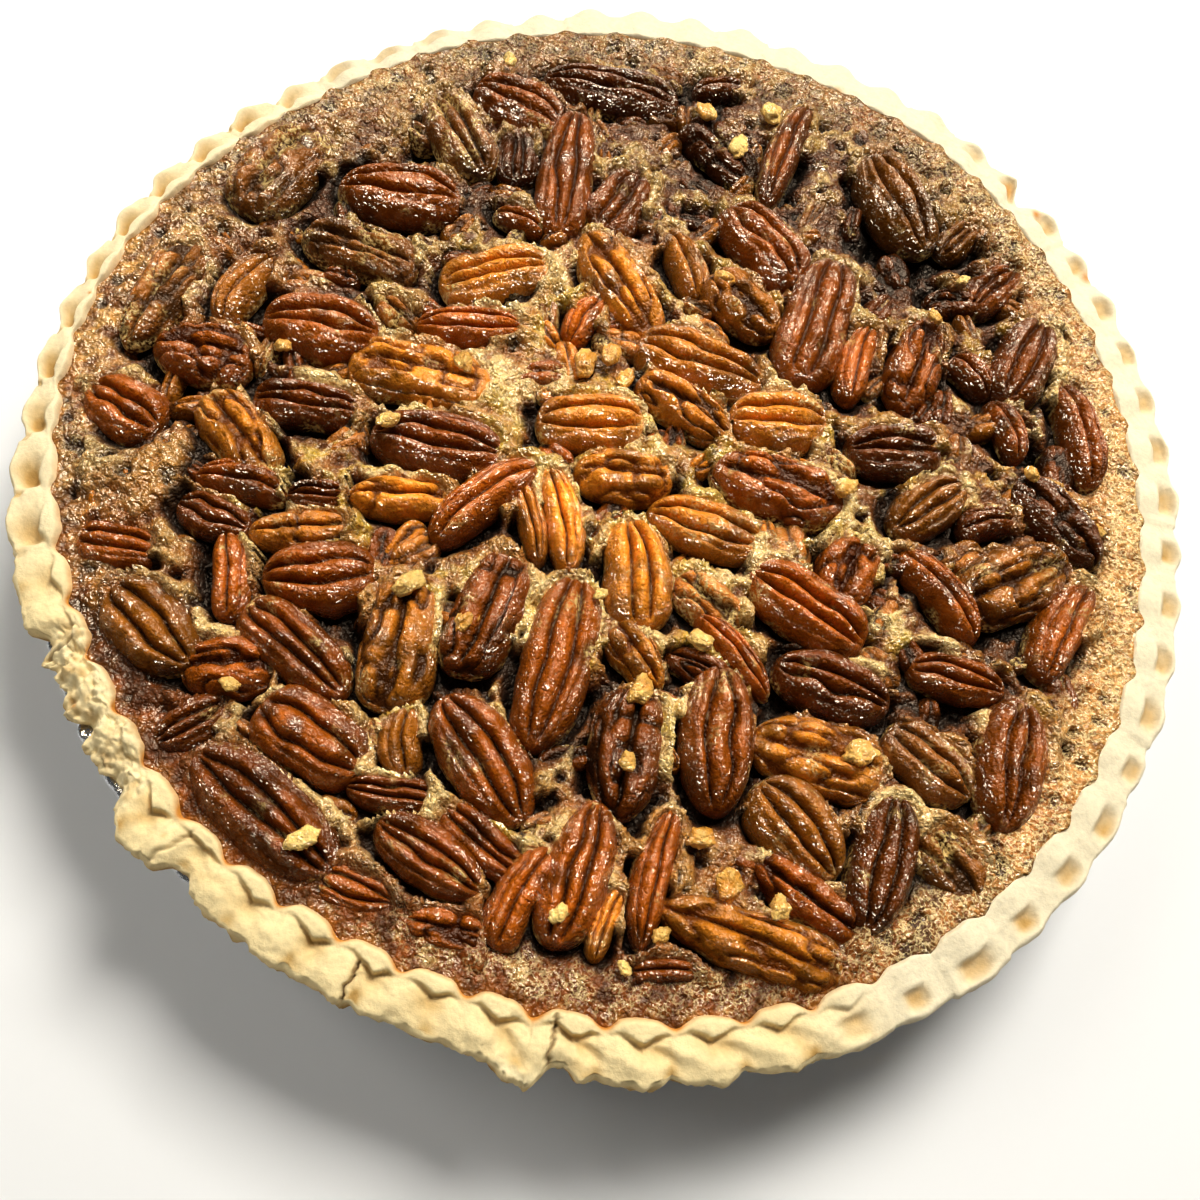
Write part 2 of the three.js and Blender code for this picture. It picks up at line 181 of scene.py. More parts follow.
# The foil's section, from the middle of the base out past a stiffening ring, up the outside, round the
# rolled edge and back down the inside.
tin_profile = np.vstack([
    line((innermost, 0), (tin_base - 18, 0), 3),
    arc(tin_base - 16, 0, 0.9, 180, 0, 7),
    line((tin_base - 14, 0), (tin_base - corner_radius, 0), 3),
    arc(tin_base - corner_radius, corner_radius, corner_radius, -90, -32, 6),
    line((tin_base, 2), (tin_mouth + 1.2, under_flange - 0.8), 15),
    line((tin_mouth + 2.2, under_flange), (tin_rim - 2 * bead_radius, under_flange), 3),
    arc(tin_rim - bead_radius, tin_height - bead_radius, bead_radius, -170, 90, 12),
    line((tin_rim - 2.4, tin_height - 0.2), (tin_mouth + 2.4, tin_height - 0.1), 4),
    arc(tin_mouth + 1.4, tin_height - 1.4, 1.4, 80, 150, 4),
    line((tin_mouth - 0.4, tin_height - 2), (tin_base - foil_gauge, 2.2), 14),
    arc(tin_base - corner_radius - foil_gauge, corner_radius + foil_gauge, corner_radius, -30, -90, 5),
    line((tin_base - 6, foil_gauge), (innermost, foil_gauge), 4),
])
turn = np.linspace(0, 2 * np.pi, tin_columns, endpoint=False)
# The section is carried round the axis. Pleats grow up the wall, as a power of a raised cosine, and end
# at the rim. The flange flutters by a sum of sines.
gathered = np.clip(tin_profile[:, 1] / 22, 0, 1) * np.clip((tin_rim - 2 - tin_profile[:, 0]) / 5, 0, 1)
fold = (0.5 - 0.5 * np.cos(pleats * turn)) ** 0.6 + 0.12 * np.sin(3 * pleats * turn)
flutter = 0.22 * np.sin(3 * pleats * turn + 1) * np.sin(7 * turn)
flutter = flutter + 0.14 * np.sin(131 * turn) + 0.1 * np.sin(31 * turn)
on_flange = np.clip((tin_profile[:, 0] - tin_mouth) / 6, 0, 1)[:, None]
radius = tin_profile[:, :1] + pleat_depth * gathered[:, None] * fold + on_flange * (flutter - 0.2)
height = np.clip(tin_profile[:, 1:] + on_flange * flutter * 0.8 - 0.15 * on_flange, 0, tin_height)
ring_points = np.stack([radius * np.cos(turn), radius * np.sin(turn), height + 0 * turn], -1)
ring_points = ring_points.reshape(-1, 3)
tin_points = np.vstack([ring_points, [[0, 0, 0], [0, 0, foil_gauge]]])
first_ring = np.arange(tin_columns)
last_ring = first_ring + tin_columns * (len(tin_profile) - 1)
tin_faces = [
    grid_faces(len(tin_profile), tin_columns),
    cap_faces(first_ring, len(ring_points), False),
    cap_faces(last_ring, len(ring_points) + 1, True),
]

foil_grey = paint("C9CBCE")
crease_waves, dent_waves = 260.0, 70.0  # to the metre
crease_depth = 0.002  # of the bumps, in metres
foil, tree, shader = new_material("pressed_foil")
place = own_place(tree)
creases = noise(tree, place, crease_waves, 5.0)
dents = noise(tree, place, dent_waves, 2.0)
crumpled = bumped(tree, arithmetic(tree, "ADD", creases, dents), 0.9, crease_depth)
tree.links.new(crumpled, shader.inputs["Normal"])
shader.inputs["Base Color"].default_value = (*foil_grey, 1)
shader.inputs["Metallic"].default_value = 1.0
shader.inputs["Roughness"].default_value = 0.22
add_piece("foil_tin_pleated", tin_points, tin_faces, foil, "foil", ["foil_tin"])


# ---- Crust ----
# A thin shell of pale shortcrust that lines the tin. Its border lies on the flange, pinched all round
# between finger and thumb, so that each pinch leaves a raised leaf, a hollow behind it and a ridge.

gap = 0.3  # room left between any two pieces
crimps = 59
first_hollow = np.radians(-23.1)
crest_height = 35
filling_level = 32
face_foot = 0.6  # how far below the filling's level the border's inner face starts
crust_thickness = 3.6
flange_level = tin_height + gap
base_level = foil_gauge + gap
wall_top = tin_mouth - 1
wall_foot = tin_base - foil_gauge - gap - 1
crust_mouth = wall_top - 0.7 * crust_thickness
lining_end = 40  # radius of the lining's innermost ring of points
leaf_top = 0.1  # shares of the border's width: where the leaf reaches its height, and where it rolls over
shoulder = 0.9
near_pinch, left_pinch, far_pinch = 3.0, 1.9, 1.5  # how deep the finger pressed on each side
pillow_height, spine_height, seam_depth, crack_depth = 1.1, 0.3, 0.9, 1.5
crust_columns = 1460
# Stretches of the border, in degrees, that crumbled off, puffed up, stand out as a flap and chipped off.
crumbled_part, puffed_part, flap_part, chipped_part = (214, 232), (233, 238), (270.6, 273.6), (47, 49.6)
# Each crack: degrees, lean across the border, width, strength, and where across the border it opens.
cracks = [(257.1, 0, 0.13, 1, 0.25, 0.4), (274.9, 0.5, 0.2, 0.8, 0, 0.2), (215.4, -0.8, 0.2, 0.7, 0.2, 0.5),
          (238.6, 1.5, 0.2, 0.5, 0.1, 0.3)]
# Inner and outer radius of the border every 20 degrees, from +X round by +Y.
border_radii = np.array([
    (107.6, 117.7), (108.2, 118.7), (110.2, 120.8), (112.3, 122.3), (112.0, 121.7), (112.1, 121.7),
    (111.9, 119.2), (110.4, 118.6), (112.8, 119.7), (113.6, 119.5), (110.8, 120.1), (108.0, 119.8),
    (108.3, 119.2), (108.0, 118.9), (110.1, 121.2), (111.3, 122.0), (110.9, 121.4), (109.4, 119.3),
])


def scatter(seed):
    """A repeatable number from 0 to 1: the part after the point of a large multiple of a sine."""
    wave = np.sin(np.asarray(seed, float) * 12.9898 + 78.233) * 43758.5453
    return wave - np.floor(wave)


def lattice(i, j, k, seed):
    """A repeatable number from 0 to 1 for each point of a lattice, by mixing its three whole numbers."""
    mixed = (i * 374761393 + j * 668265263 + k * 2147483647 + seed * 974634777) & 0xFFFFFFFF
    mixed = ((mixed ^ (mixed >> 13)) * 1274126177) & 0xFFFFFFFF
    return ((mixed ^ (mixed >> 16)) & 0xFFFF) / 65535


def grain(x, y, z, size, seed):
    """Smooth noise from -1 to 1: lattice numbers `size` mm apart, eased between the eight nearest."""
    spot = np.stack(np.broadcast_arrays(x, y, z)) / size + 0.37 * seed
    low = np.floor(spot).astype(np.int64)
    part = spot - low
    part = part * part * (3 - 2 * part)
    total = 0
    for corner in np.ndindex(2, 2, 2):
        share = np.prod([p if c else 1 - p for c, p in zip(corner, part)], axis=0)
        total = total + share * lattice(low[0] + corner[0], low[1] + corner[1], low[2] + corner[2], seed)
    return 2 * total - 1


def rough(x, y, z, size, seed):
    """Noise of three sizes added together, each half as large and half as high as the one before."""
    return (grain(x, y, z, size, seed) + 0.5 * grain(x, y, z, size / 2, seed + 1)
            + 0.25 * grain(x, y, z, size / 4, seed + 2)) / 1.3


def ease(value, low, high):
    """0 below low, 1 above high, and between them three squares less two cubes of the share of the way."""
    share = np.clip((value - low) / (high - low), 0, 1)
    return share * share * (3 - 2 * share)


def stretch(degrees, start, end, fade):
    """1 along a stretch of the border, falling smoothly to 0 over its ends."""
    return ease(np.minimum(degrees - start, end - degrees), -fade / 2, fade / 2)


def hump(value, middle, width):
    """A bell curve: e to minus the square of the distance to the middle, counted in widths."""
    return np.exp(-((value - middle) / width) ** 2)


def border(angle):
    """The border's inner and outer radius: between two rows of border_radii runs the cubic that also
    takes its slopes from their neighbours, which gives one smooth closed curve."""
    step = (angle % (2 * np.pi)) / (2 * np.pi) * len(border_radii)
    index = np.floor(step).astype(int)
    part = (step - index)[..., None]
    a, b, c, d = (border_radii[(index + shift) % len(border_radii)] for shift in (-1, 0, 1, 2))
    bent = 2 * b + (c - a) * part + (2 * a - 5 * b + 4 * c - d) * part ** 2
    return np.moveaxis((bent + (3 * b - a - 3 * c + d) * part ** 3) / 2, -1, 0)


def near_part(degrees):
    """1 on the near side of the border, where the pinches are deepest."""
    return stretch(degrees, 206, 300, 14)


def inner_edge(angle):
    """The border's inner radius. It draws back at the ridge between two pinches, by the cube of a raised
    cosine over each crimp, and a noise makes it uneven."""
    turns = (angle - first_hollow) * crimps / (2 * np.pi)
    ridge = 0.5 - 0.5 * np.cos(2 * np.pi * turns)
    degrees = np.degrees(angle) % 360
    uneven = 0.3 * rough(degrees * 1.92, 0, 0, 3, 5) * ease(degrees, 0, 3) * ease(360 - degrees, 0, 3)
    return border(angle)[0] + (1.3 + 0.5 * near_part(degrees)) * ridge ** 3 + uneven


def blend(first, second, weight):
    """Colours mixed point by point, by a weight from 0 to 1."""
    weight = np.clip(np.asarray(weight), 0, 1)[..., None]
    return first * (1 - weight) + second * weight


def layered(colour, layers):
    """A colour with others laid over it in turn. Each layer is a colour and its weight at each point."""
    for layer, weight in layers:
        colour = blend(colour, layer, weight)
    return colour


def bubbles(x, y, size, seed):
    """Distance to the nearest of scattered points, one to each square of a lattice `size` mm wide, as a
    share of that size, and the nearest point's own number."""
    spot = np.stack([x, y]) / size
    low = np.floor(spot).astype(np.int64)
    nearest, number = np.full(x.shape, 9.0), np.zeros(x.shape)
    for i in (-1, 0, 1):
        for j in (-1, 0, 1):
            column, row = low[0] + i, low[1] + j
            away = np.hypot(column + lattice(column, row, 0, seed) - spot[0],
                            row + lattice(column, row, 1, seed) - spot[1])
            number = np.where(away < nearest, lattice(column, row, 2, seed), number)
            nearest = np.minimum(away, nearest)
    return nearest, number


# More columns stand where the border is broken, cracked or chipped.
fine = np.linspace(0, 360, 7201)
crowding = 1 + stretch(fine, 210, 244, 4) + 3 * hump(fine, 257, 1.4) + 2 * stretch(fine, 268, 279, 3)
crowding = np.cumsum(crowding + 1.5 * stretch(fine, 44, 52, 3))
degrees = np.interp(np.linspace(crowding[0], crowding[-1], crust_columns, endpoint=False), crowding, fine)
angle = np.radians(degrees)

# pinch runs from -0.5 to 0.5 over each crimp, with its hollow at 0. chance is that crimp's own number.
turns = (angle - first_hollow) * crimps / (2 * np.pi)
chance = scatter(np.round(turns) % crimps)
near_side = near_part(degrees)
left_side = stretch(degrees, 140, 206, 14)
far_side = 1 - np.clip(near_side + left_side, 0, 1)

pinch = turns - np.round(turns)
ridge = 0.5 - 0.5 * np.cos(2 * np.pi * pinch)
crumbled = stretch(degrees, *crumbled_part, 3)
lump = stretch(degrees, *puffed_part, 2)
flap = stretch(degrees, *flap_part, 2)
chipped = stretch(degrees, *chipped_part, 2)
# Width that broke off the outer edge, in mm, and below 0 where dough stands out instead. A little more
# is gone beside two of the cracks.
crumbled_off = 2.8 + 0.8 * np.sin(angle * 71) + 0.5 * np.sin(angle * 113)
lost = crumbled * crumbled_off - 1.4 * lump
lost = lost + 2.4 * stretch(degrees, 238.6, 241.2, 2) + 2.4 * stretch(degrees, 274.5, 276.5, 1.4)
lost = lost + 3.2 * chipped - 2.6 * flap
inner = inner_edge(angle)
lobe = 1 - 2 * ridge + 0.35 * np.sin(4 * np.pi * pinch) * left_side
shift = 0.35 * stretch(degrees, 268, 300, 14)
notch = turns - 0.06 - shift
notch = hump(notch - np.round(notch), 0, 0.1) * near_side
scallop = (0.65 + 0.45 * np.sin(angle)) * lobe - 0.9 * notch * (0.3 + chance)
outer = border(angle)[1] + scallop + 0.8 * (chance - 0.5) - lost
uneven = 0.18 + 0.7 * crumbled + 0.5 * flap + 0.2 * near_side
outer = outer + uneven * rough(angle * 120, 0, 9, 2.2, 3)
width = outer - inner
drop = np.maximum(lost, 0) * 0.35
crest = crest_height - 0.9 * ridge + 0.5 * (chance - 0.5) + 0.5 * lump

# Rows across the top of the border: q runs from 0 at the filling to 1 at the outer edge. The raised
# leaf of each pinch ends in a point over its dent, further along the pinch on the left side.
q = np.concatenate([line(0, leaf_top, 5), line(leaf_top, 0.5, 20), line(0.5, shoulder, 13), [shoulder]])
q = q[:, None]
peak = 0.26 * left_side + 0.16 * stretch(degrees, 212, 266, 20) + 0.12 * (chance - 0.5)
to_point = np.minimum((pinch + 0.5) / (peak + 0.5), (0.5 - pinch) / (0.5 - peak))
leaf_edge = 0.13 + (0.22 + 0.06 * chance) * np.clip(to_point, 0, 1) ** 1.2
leaf_edge = leaf_edge + 0.03 * rough(angle * 110, 4, 0, 2.2, 6)

# What the fingers pressed in. Near side: a dent behind each leaf, a valley from crimp to crimp, and a
# pillow of dough outside it. Left side: a slanting hollow that ends at a seam. Far side: a pit in each
# crimp, and further round a notch. A spine of dough stays up between two crimps.
beyond = np.clip(q - leaf_edge, 0, 1)
slant = pinch - peak - 0.45 * (chance - 0.3) * beyond
leaf = 1 - ease(q, leaf_edge - 0.03, leaf_edge + 0.05)
dent = (1 - leaf) * np.exp(-beyond / 0.11) * hump(slant, 0, 0.30) * ease(0.5 - np.abs(pinch), 0, 0.12)
slid = turns - peak - shift * ease(q, 0.25, 0.8)
slid = slid - np.round(slid)
valley = (1 - leaf) * hump(slid, 0, 0.17) * ease(0.8 - q, 0, 0.35)
pillow = hump(q, 0.66, 0.28) * hump(np.abs(slid), 0.5, 0.24)
shelf = ease(pinch, -0.42, 0.3) * (1 - ease(pinch, 0.34, 0.45))
left_hollow = (1 - leaf) * shelf * np.exp(-(np.abs(q - 0.56) / 0.24) ** 3)
pit_size = 0.22 + 0.1 * (chance - 0.5)
pit_out = 0.70 + 0.08 * (scatter(np.round(turns) * 3) - 0.5)
pit = np.exp(-(np.abs(pinch + 0.02) / pit_size) ** 3.5 - (np.abs(q - pit_out) / 0.16) ** 4)
pit = pit * stretch(degrees % 360 + 360 * (degrees < 180), 292, 418, 14)
notches = np.exp(-(np.abs(pinch - 0.12) / 0.27) ** 4 - (np.abs(q - 0.74) / 0.2) ** 4)
notches = notches * stretch(degrees, 120, 160, 18)
far_hollow = np.maximum(pit, 0.7 * notches)
seam = hump(pinch, 0.47 * np.sign(pinch), 0.035) * ease(q, 0.62, 0.8) * left_side
hollow = near_side * np.maximum(dent, 0.5 * valley) + left_side * left_hollow + far_side * far_hollow
hollow = hollow * (1 - 0.8 * crumbled)
depth = near_pinch * near_side + left_pinch * left_side
depth = depth + (far_pinch + 0.9 * (0.3 - pinch)) * far_side
spine = ease(q, 0.2, 0.4) * (hump(pinch, 0.5, 0.12) + hump(pinch, -0.5, 0.12))

# Height: a steep inner face, then a fall towards the outer edge, with all these added or taken away.
upright = np.sin(np.pi / 2 * np.clip(q / leaf_top, 0, 1)) ** 0.8
face = (filling_level - face_foot) + (crest - filling_level + face_foot) * upright
back = np.clip((q - leaf_top) / (shoulder - leaf_top), 0, 1)
top = face - (0.9 + drop) * back ** 1.3
top = top - depth * (0.8 + 0.4 * chance) * hollow + pillow_height * near_side * pillow - seam_depth * seam
top = top + (0.5 * near_side + 0.3 * left_side) * leaf * ease(q, 0.03, 0.15) * np.clip(1.6 * to_point, 0, 1)
top = top + spine_height * spine * (1 - near_side * 0.4)
wobble = 0.3 * grain(q * 9, 0, 0, 1, 15) + 0.12 * grain(q * 30, 0, 0, 1, 16)
crack = np.zeros_like(wobble)
for where, lean, breadth, strength, closed, opened in cracks:
    furrow = strength * hump(degrees + lean * q + wobble, where, breadth)
    crack = np.maximum(crack, furrow * ease(q, closed, opened))
span = inner + q * width
x, y = span * np.cos(angle), span * np.sin(angle)
# The crumbled stretch is made of chunks: each stands at its own level, with a groove round it.
from_chunk, chunk_level = bubbles(x + 0.7 * grain(x, y, 0, 1.6, 17), y + 0.7 * grain(x, y, 5, 1.6, 18),
                                  2.8, 13)
floury_bumps = 0.08 + 0.14 * near_side + 0.5 * crumbled + 0.35 * flap * ease(q, 0.4, 0.8)
top = top + 0.22 * rough(x, y, 0, 5, 11)
top = top + floury_bumps * rough(x, y, 3, 1.8, 12)
top = top + crumbled * ease(q, 0.05, 0.3) * ((chunk_level - 0.5) - 0.5 * ease(from_chunk, 0.45, 0.8))
top = top + 0.5 * crumbled * ease(q, 0.05, 0.3) * grain(x, y, 6, 0.9, 19)
top = top - crack_depth * crack - crumbled * 1.1 * ease(q, 0.5, 0.95)
top = np.where(q == 0, filling_level - 0.8, top)

# The outer edge rolls over and under in a rough quarter of an ellipse, down to the flange.
roll = np.radians(np.linspace(80, -75, 11))[:, None]
edge_reach = (1 - shoulder) * width
edge_top = top[-1]
edge_fall = np.maximum(edge_top - flange_level - 0.2, 0.6)
edge_radius = outer - edge_reach + edge_reach * np.cos(roll)
edge_height = edge_top - edge_fall * (0.5 - 0.5 * np.sin(roll)) ** 0.9
ragged = 0.16 + 0.5 * crumbled + 0.45 * near_side
ragged = ragged * rough(120 * np.cos(angle), 120 * np.sin(angle), edge_height, 1.9, 21)
edge_radius = edge_radius + ragged

# Rows in all: the lining from its middle up to the filling, the border, its edge, and the under side
# that rests on the flange, the wall and the base of the tin.
lining_floor = base_level + crust_thickness
lining_rows = [(lining_end, lining_floor), (wall_foot - crust_thickness, lining_floor),
               (crust_mouth, tin_height + 1.2)]
under_rows = [(np.minimum(outer - 1.6, tin_rim - 3), flange_level), (wall_top, flange_level),
              (wall_foot, base_level), (lining_end, base_level)]
flat = np.ones_like(angle)
lining_radius, under_radius = ([flat * r for r, z in rows] for rows in (lining_rows, under_rows))
lining_height, under_height = ([flat * z for r, z in rows] for rows in (lining_rows, under_rows))
radius = np.vstack([lining_radius, span, edge_radius, under_radius])
height = np.vstack([lining_height, top, np.maximum(edge_height, flange_level), under_height])
crust_rows = len(radius)
on_top = slice(len(lining_rows), len(lining_rows) + len(q))
edge_rows = slice(on_top.stop, on_top.stop + len(roll))
ring_points = np.stack([radius * np.cos(angle), radius * np.sin(angle), height], -1).reshape(-1, 3)
crust_points = np.vstack([ring_points, [[0, 0, lining_floor], [0, 0, base_level]]])
first_ring = np.arange(crust_columns)
last_ring = first_ring + crust_columns * (crust_rows - 1)
crust_faces = [
    grid_faces(crust_rows, crust_columns)[:, ::-1],
    cap_faces(first_ring, len(ring_points), True),
    cap_faces(last_ring, len(ring_points) + 1, False),
]

# Colour: cream; tan in the hollows and under the rolled edge, which is painted shade; browned where the
# filling boiled against it; specks and spots.
cream = paint("EDDFBC")
golden = paint("F2DBA4")
tan = paint("C29A58")
deep_tan = paint("8C6430")
browned = paint("CC8634")
crumb_white = paint("F6E4B4")
crack_brown = paint("5A3A1A")
# Each brown spot: degrees, radius, size and strength.
spots = [(36, 118.4, 1.6, 0.9), (45.6, 118.6, 1.1, 1.0), (50.2, 118.8, 1.3, 0.6), (176.5, 115.2, 0.45, 1.0),
         (221.8, 115.6, 0.4, 0.9), (73.5, 112.8, 1.3, 0.7), (236.8, 114.5, 0.5, 0.5)]
shade_and_tan, browning, crumbs = np.zeros((3, crust_rows, crust_columns))
# Painted shade in the hollows, seams and pits, darker on one side of each far pit, with tan blotches, darker
# notches and a tan crumb tone.
hollow_shading = 0.95 - 0.15 * far_side * (1 + 2 * pinch) + 0.3 * rough(x, y, 5, 2.5, 31)
blotches = 0.1 + 1.1 * np.clip(rough(x, y, 7, 3.6, 32), 0, 1)
softly = 0.6 * near_side + 0.35 * left_side
shade_and_tan[on_top] = hollow * hollow_shading + 0.8 * seam
shade_and_tan[on_top] += softly * (1 - leaf) * blotches * ease(q, 0.2, 0.5) * (1 - 0.8 * pillow)
shade_and_tan[on_top] += 0.8 * notch * ease(q, 0.6, 0.9)
shade_and_tan[on_top] += 0.7 * crumbled * ease(grain(x, y, 1, 2.2, 36), -0.1, 0.7)
# Painted shade under the rolled edge, and darker still below each crimp of the near side.
shade_and_tan[edge_rows] = 0.4 * (1 - np.sin(roll)) * (0.7 + 0.6 * rough(x[-1], y[-1], edge_height, 2, 33))
under_edge = ease(-np.sin(roll), -0.9, 0.4) * (1 + 0.7 * rough(x[-1], y[-1], edge_height, 2.4, 37))
shade_and_tan[edge_rows] += near_side * (0.45 + 0.8 * hump(pinch, 0.08, 0.2)) * under_edge
ridge_glaze = near_side * ridge ** 4 * hump(q, 0.02, 0.10)
boiled_over = 0.035 + 0.03 * near_side + 0.02 * rough(x, y, 9, 4, 34)
browning[on_top] = (0.7 - 0.4 * far_side) * hump(q, 0, boiled_over) + ridge_glaze
crumbs[on_top] = crumbled * (0.4 + 0.6 * rough(x, y, 2, 1.4, 35)) + flap * ease(q, 0.7, 0.9)
for where, out, size, strength in spots:
    far = np.hypot(radius * (degrees - where) * np.pi / 180, radius - out)
    browning = np.maximum(browning, strength * hump(far, 0, size) * (height > tin_height))
colour = layered(cream, [
    # Painted light: the near and left side a deeper gold, the far side left paler as if lit more brightly.
    (golden, (near_side + 0.45 * left_side) * np.ones_like(shade_and_tan)),
    # Tan and deep tan: painted shade in the hollows and under the edge, with tan blotches.
    (tan, shade_and_tan),
    (deep_tan, np.clip(shade_and_tan - 0.85, 0, 1)),
    (crumb_white, crumbs),
    (browned, browning),
])
colour[on_top] = blend(colour[on_top], crack_brown, 0.9 * crack)
# Painted shade: the far side a little darker, most of all between 40 and 150 degrees.
far_side_shade = far_side * (0.05 + 0.07 * stretch(degrees, 40, 150, 30))
colour = colour * (1 - far_side_shade)[..., None]
colour = np.vstack([colour.reshape(-1, 3), [cream, cream]])


def by_point(tree, label, output="Fac"):
    """A number that the mesh holds for each point, or with output Color a colour."""
    return add_node(tree, "ShaderNodeAttribute", {"attribute_name": label}).outputs[output]


def spread(tree, value, start=(0.0, 1.0), end=(0.0, 1.0)):
    """A number moved evenly from one range to another, and held at its ends."""
    return add_node(tree, "ShaderNodeMapRange", Value=value, **{
        "From Min": start[0], "From Max": start[1], "To Min": end[0], "To Max": end[1]}).outputs[0]


def mottled(tree, mask, start, tones):
    """The points' own colour, times a tone that follows a mask from one end of its range to the other."""
    colour, tone = by_point(tree, "colour", "Color"), spread(tree, mask, start, tones)
    return add_node(tree, "ShaderNodeVectorMath", {"operation": "SCALE"}, i0=colour, Scale=tone).outputs[0]


# Baked dough has a fine floury grain: small bumps and faint mottling, and no gloss.
flour_waves, flour_depth = 900.0, 0.0004
dough, tree, shader = new_material("baked_shortcrust")
floury = noise(tree, own_place(tree), flour_waves, 3.0, Roughness=0.62)
tree.links.new(mottled(tree, floury, (0.3, 0.7), (0.90, 1.06)), shader.inputs["Base Color"])
tree.links.new(bumped(tree, floury, 0.5, flour_depth), shader.inputs["Normal"])
shader.inputs["Roughness"].default_value = 0.8
shader.inputs["Specular IOR Level"].default_value = 0.03
add_piece("crust_crimped", crust_points, crust_faces, dough, "crust", ["crust"], colour=colour)


# ---- Pecans: where they lie ----
# Shelled pecan halves, toasted in syrup. The large ones lie on the filling as pieces of their own, and
# the small or half sunk ones are held in it.

pecan_kinds = ("ridged", "wrinkled", "edge")
pecan_colours = ("red", "brown", "dark", "amber", "frothed")
pecan_base = filling_level + gap
sunk_base = filling_level - 0.4
# Each sunk pecan: x, y, length, width, heading in degrees, height above the filling.
sunk_pecans = {
    "red_ridged": [(-37.5, 20, 23, 8.5, 12, 6), (-99.5, -16.5, 17, 13, -20, 6.4),
        (-90, -45, 16, 10, 3, 5), (-9.5, -85, 18, 9, -30, 5.2), (-29, -97.5, 14, 8, -8, 4.6),
        (73, -35, 19, 9, -3, 5.4), (74, 60.5, 18, 10, 55, 4.6)],
    "red_wrinkled": [(49, -82.5, 24, 9, -24, 6), (-62, -63.5, 18, 12, 15, 6),
        (-12, -100.5, 15, 7.5, 0, 4.6), (49, -17.5, 16, 13, 75, 6)],
    "red_edge": [(95, 27, 26, 8.5, -72, 6.2), (68, -18, 23, 8, -45, 6.4), (21.5, -84.5, 26, 7, 86, 6),
        (-1, -92.5, 20, 8, 72, 6), (-72, -27, 18, 8, 2, 5.6), (-68, -46, 18, 8, -72, 5),
        (29, -40, 21, 6, -40, 5.4), (79.5, 24, 15, 7, -60, 4.8), (71, 36, 12, 7, -45, 4.6),
        (45.5, 33, 21, 8, 82, 5.2), (-34, 51, 12, 6, -10, 3.8), (-14.5, 28, 14, 7.5, 70, 4.8)],
    "brown_ridged": [(64, 1, 19, 11, 45, 6.4), (65, 72.5, 12, 8, 55, 4.2)],
    "brown_wrinkled": [(-58, -34, 20, 8, 18, 5)],
    "brown_edge": [(-15.5, -21, 20, 5.5, -65, 4.6), (-28, -70, 13, 8, 100, 4.8),
        (-86, 18, 20, 9, 72, 5)],
    "dark_ridged": [(-65, -6.5, 22, 10, 5, 6), (-75, -35, 15, 9, -10, 4.6),
        (-57, -26, 12, 7, 10, 4.6), (-65.5, -75.5, 14, 9, 45, 5), (-27.5, -80, 16, 7, 5, 4.8),
        (-38.5, 69, 15, 10, 100, 4.4)],
    "dark_wrinkled": [(24, -44.5, 16, 7, -14, 4.6), (66.5, 54.5, 15, 8, 10, 4)],
    "dark_edge": [(26, -99.5, 12, 5.5, 10, 3.8), (77, 0.5, 13, 7, 20, 4.4), (4, 103, 14, 6, 22, 3.6)],
    "amber_wrinkled": [(-41, -22.5, 21, 8.5, 12, 5.2), (10.5, -44.5, 16, 8.5, -45, 6)],
    "amber_edge": [(-9.5, -19.5, 23, 8, -67, 5.6), (14.5, -94, 14, 5, 80, 4.4),
        (4, 49, 19, 8, -58, 5.4)],
    "frothed_ridged": [(69, -53, 19, 12, -32, 5.6)],
    "frothed_wrinkled": [(22.5, -30.5, 16, 10, -30, 5), (74.5, -71, 16, 11, -45, 4.8),
        (-53.5, 19.5, 11, 8, -30, 4)],
}


def lying_box(node):
    """Where a pecan lies: the turn at which the box round its outline has the least area."""
    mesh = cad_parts[node].data
    spots = np.empty(3 * len(mesh.vertices), np.float32)
    mesh.vertices.foreach_get("co", spots)
    spots = (spots.reshape(-1, 3) - pie_axis) / MM
    turned = np.radians(np.arange(0, 180, 1))
    along = spots[:, :1] * np.cos(turned) + spots[:, 1:2] * np.sin(turned)
    across = spots[:, 1:2] * np.cos(turned) - spots[:, :1] * np.sin(turned)
    length, breadth = np.ptp(along, axis=0), np.ptp(across, axis=0)
    best = np.argmin(np.where(length >= breadth, length * breadth, np.inf))
    u = (along[:, best].max() + along[:, best].min()) / 2
    v = (across[:, best].max() + across[:, best].min()) / 2
    c, s = np.cos(turned[best]), np.sin(turned[best])
    return (u * c - v * s, u * s + v * c, length[best], breadth[best], turned[best],
            np.ptp(spots[:, 2]), pecan_base)


# For each colour and kind: the CAD's nodes, and a row for each half with its place, size and heading.
pecans = {}
for colour_name in pecan_colours:
    for kind in pecan_kinds:
        stem = f"pecan_{colour_name}_{kind}"
        nodes = sorted(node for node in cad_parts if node.rsplit("_", 1)[0] == stem)
        rows = [lying_box(node) for node in nodes]
        rows += [(px, py, long, wide, np.radians(heading), rise, sunk_base)
                 for px, py, long, wide, heading, rise in sunk_pecans.get(f"{colour_name}_{kind}", [])]
        if rows:
            pecans[stem] = (nodes, np.array(rows))
everyone = np.vstack([rows for nodes, rows in pecans.values()])


# ---- Filling ----
# Custard of egg, sugar and syrup that boiled up between the nuts and set as a brown froth. It is full
# of pores, glazed with sugar near the crust, and sinks away from the sides of the nuts.

